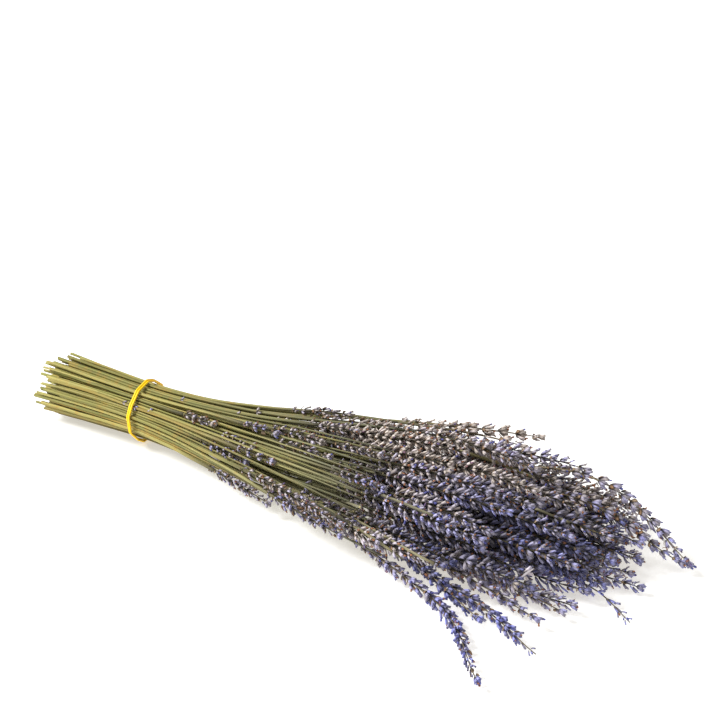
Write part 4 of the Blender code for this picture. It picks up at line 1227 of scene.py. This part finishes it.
# A small fan of calyces at each floret's spot, and a blade from each root spot to its tip, which
# stands a little nearer to the camera.
def makeBits():
    rng = np.random.default_rng(bits["seed"])
    groups = []
    wanted = np.array(bits["florets"])
    under = spotsUnder(wanted[:, :2])
    wanted = wanted[under["found"]]
    for row, here, ahead, up in zip(wanted, under["spot"], under["along"], under["outward"]):
        count = int(row[2])
        side = np.cross(ahead, up)
        angle = rng.uniform(*bits["floretTurn"])
        angle = angle + (np.arange(count) - (count - 1) / 2) * bits["floretFan"]
        fan = np.cos(angle)[:, None] * ahead + np.sin(angle)[:, None] * side
        fan = unitOf(fan - (fan @ up)[:, None] * up)
        size = row[3] * rng.uniform(*bits["floretSize"], count)
        arrays = dict(root=np.repeat((here - up * bits["sunk"])[None], count, axis=0), along=fan,
                      outward=np.repeat(up[None], count, axis=0), length=bits["floretLength"] * size,
                      width=bits["floretWidth"] * size,
                      splay=rng.uniform(*bits["floretSplay"], count),
                      bend=rng.uniform(*bits["floretBend"], count))
        groups.append(("calyx", arrays, np.ones(count), row[4]))
    wanted = np.array(bits["blades"])
    under = spotsUnder(wanted[:, :2])
    away = under["front"] - bits["tipNearer"]
    tips = np.array(camera.location) + raysThrough(wanted[:, 2:4]) * away[:, None]
    found = under["found"]
    for row, here, tip, up in zip(wanted[found], under["spot"], tips[found], under["outward"]):
        here = here - up * bits["sunk"]
        length = np.linalg.norm(tip - here)
        ahead = (tip - here) / length
        up = unitOf(up - (up @ ahead) * ahead)
        arrays = dict(root=here[None], along=ahead[None], outward=up[None], length=np.array([length]),
                      width=row[4:5], splay=np.array([bits["bladeSplay"]]),
                      bend=np.array([bits["bladeBend"]]))
        groups.append(("leaf", arrays, np.ones(1), row[5]))
    buildBuds("loose_bits", groups, floretMaterials, (), seed=7)


# Straw-coloured stems that cross the flowers: pixels of the photograph at start, middle and end, and
# the half width.
overStems = {
    "lines": ((258, 468, 330, 511, 404, 559, 0.0008), (318, 496, 384, 536, 440, 567, 0.0007),
              (380, 494, 408, 505, 436, 517, 0.0008), (460, 451, 500, 464, 534, 478, 0.00085),
              (536, 509, 553, 516, 570, 523, 0.0007), (296, 458, 330, 474, 366, 498, 0.0007),
              (292, 481, 326, 495, 360, 507, 0.0007), (300, 492, 330, 503, 358, 514, 0.0007)),
    "rings": 18,
    "sides": 8,
    "sunk": 0.006,  # both ends go this deep under the flowers,
    "sinkFrom": 0.72,  # from this share of the way to them
    "dry": 0.35,
    "onTop": 45,  # percent of their length that lies on the flowers, not in them
}


# A bow through each three points, laid on a smooth curve of depth along the flowers under it.
def stemsOver(rng):
    start = np.array(camera.location)
    share = np.linspace(0, 1, overStems["rings"])
    toEnd = rise(abs(2 * share - 1), (overStems["sinkFrom"], 1))
    lines = []
    for row in overStems["lines"]:
        first, middle, last = np.array(row[:6]).reshape(3, 2)
        bow = 4 * (middle - (first + last) / 2)
        pixels = first + (last - first) * share[:, None] + bow * (share * (1 - share))[:, None]
        under = spotsUnder(pixels)
        found, front = under["found"], under["front"]
        depth = np.polyval(np.polyfit(share[found], front[found], 2), share)
        depth -= np.percentile((depth - front)[found], overStems["onTop"])
        deeper = np.where(found, np.maximum(front, depth), depth) + overStems["sunk"] - depth
        lines.append(start + raysThrough(pixels) * (depth + deeper * toEnd**2)[:, None])
    lines = np.stack(lines)
    half = np.array([row[6:] for row in overStems["lines"]]) * np.ones(len(share))
    roll = rng.uniform(0, 2 * math.pi, (len(lines), 1)) + np.zeros(len(share))
    return lines, half, roll, np.zeros_like(half), np.full_like(half, overStems["dry"])


makeBits()
overTubes = ((stemsOver(stemRng), overStems["sides"]),)
makeTubes("stems_over", overTubes, stemMaterials, (), seed=5)

studio = {
    "floorSize": 40.0,
    "floorColour": (0.72, 0.73, 0.75),
    "floorGlow": (0.53, 0.51, 0.46),  # a backlit table: hardly any shadow shows on it
    "skyColour": (1.0, 0.995, 0.985),
    "skyStrength": 0.56,
    "lampPlace": (-1.2, -1.0, 1.6),
    "lampSize": 1.0,
    "lampPower": 64.0,
}


def makeStudio():
    size = studio["floorSize"] / 2
    corners = [(-size, -size, 0), (size, -size, 0), (size, size, 0), (-size, size, 0)]
    mesh = bpy.data.meshes.new("floor")
    mesh.from_pydata(corners, [], [(0, 1, 2, 3)])
    floor = newObject("floor", mesh)
    g = Graph("paleFloor")
    mesh.materials.append(g.finish(colour=studio["floorColour"], roughness=0.9, shine=0.1,
                                   glow=studio["floorGlow"], glowStrength=1.0))
    world = bpy.data.worlds.new("softSky")
    world.use_nodes = True
    sky = world.node_tree.nodes["Background"]
    sky.inputs["Color"].default_value = (*studio["skyColour"], 1.0)
    sky.inputs["Strength"].default_value = studio["skyStrength"]
    bpy.context.scene.world = world
    lamp = newObject("softLamp", bpy.data.lights.new("softLamp", "AREA"))
    lamp.data.shape = "DISK"
    lamp.data.size = studio["lampSize"]
    lamp.data.energy = studio["lampPower"]
    lamp.location = studio["lampPlace"]
    lookAt(lamp, Vector((0.0, 0.0, 0.0)))
    bpy.context.scene.view_settings.view_transform = "Standard"


makeStudio()
print("camera and studio set")
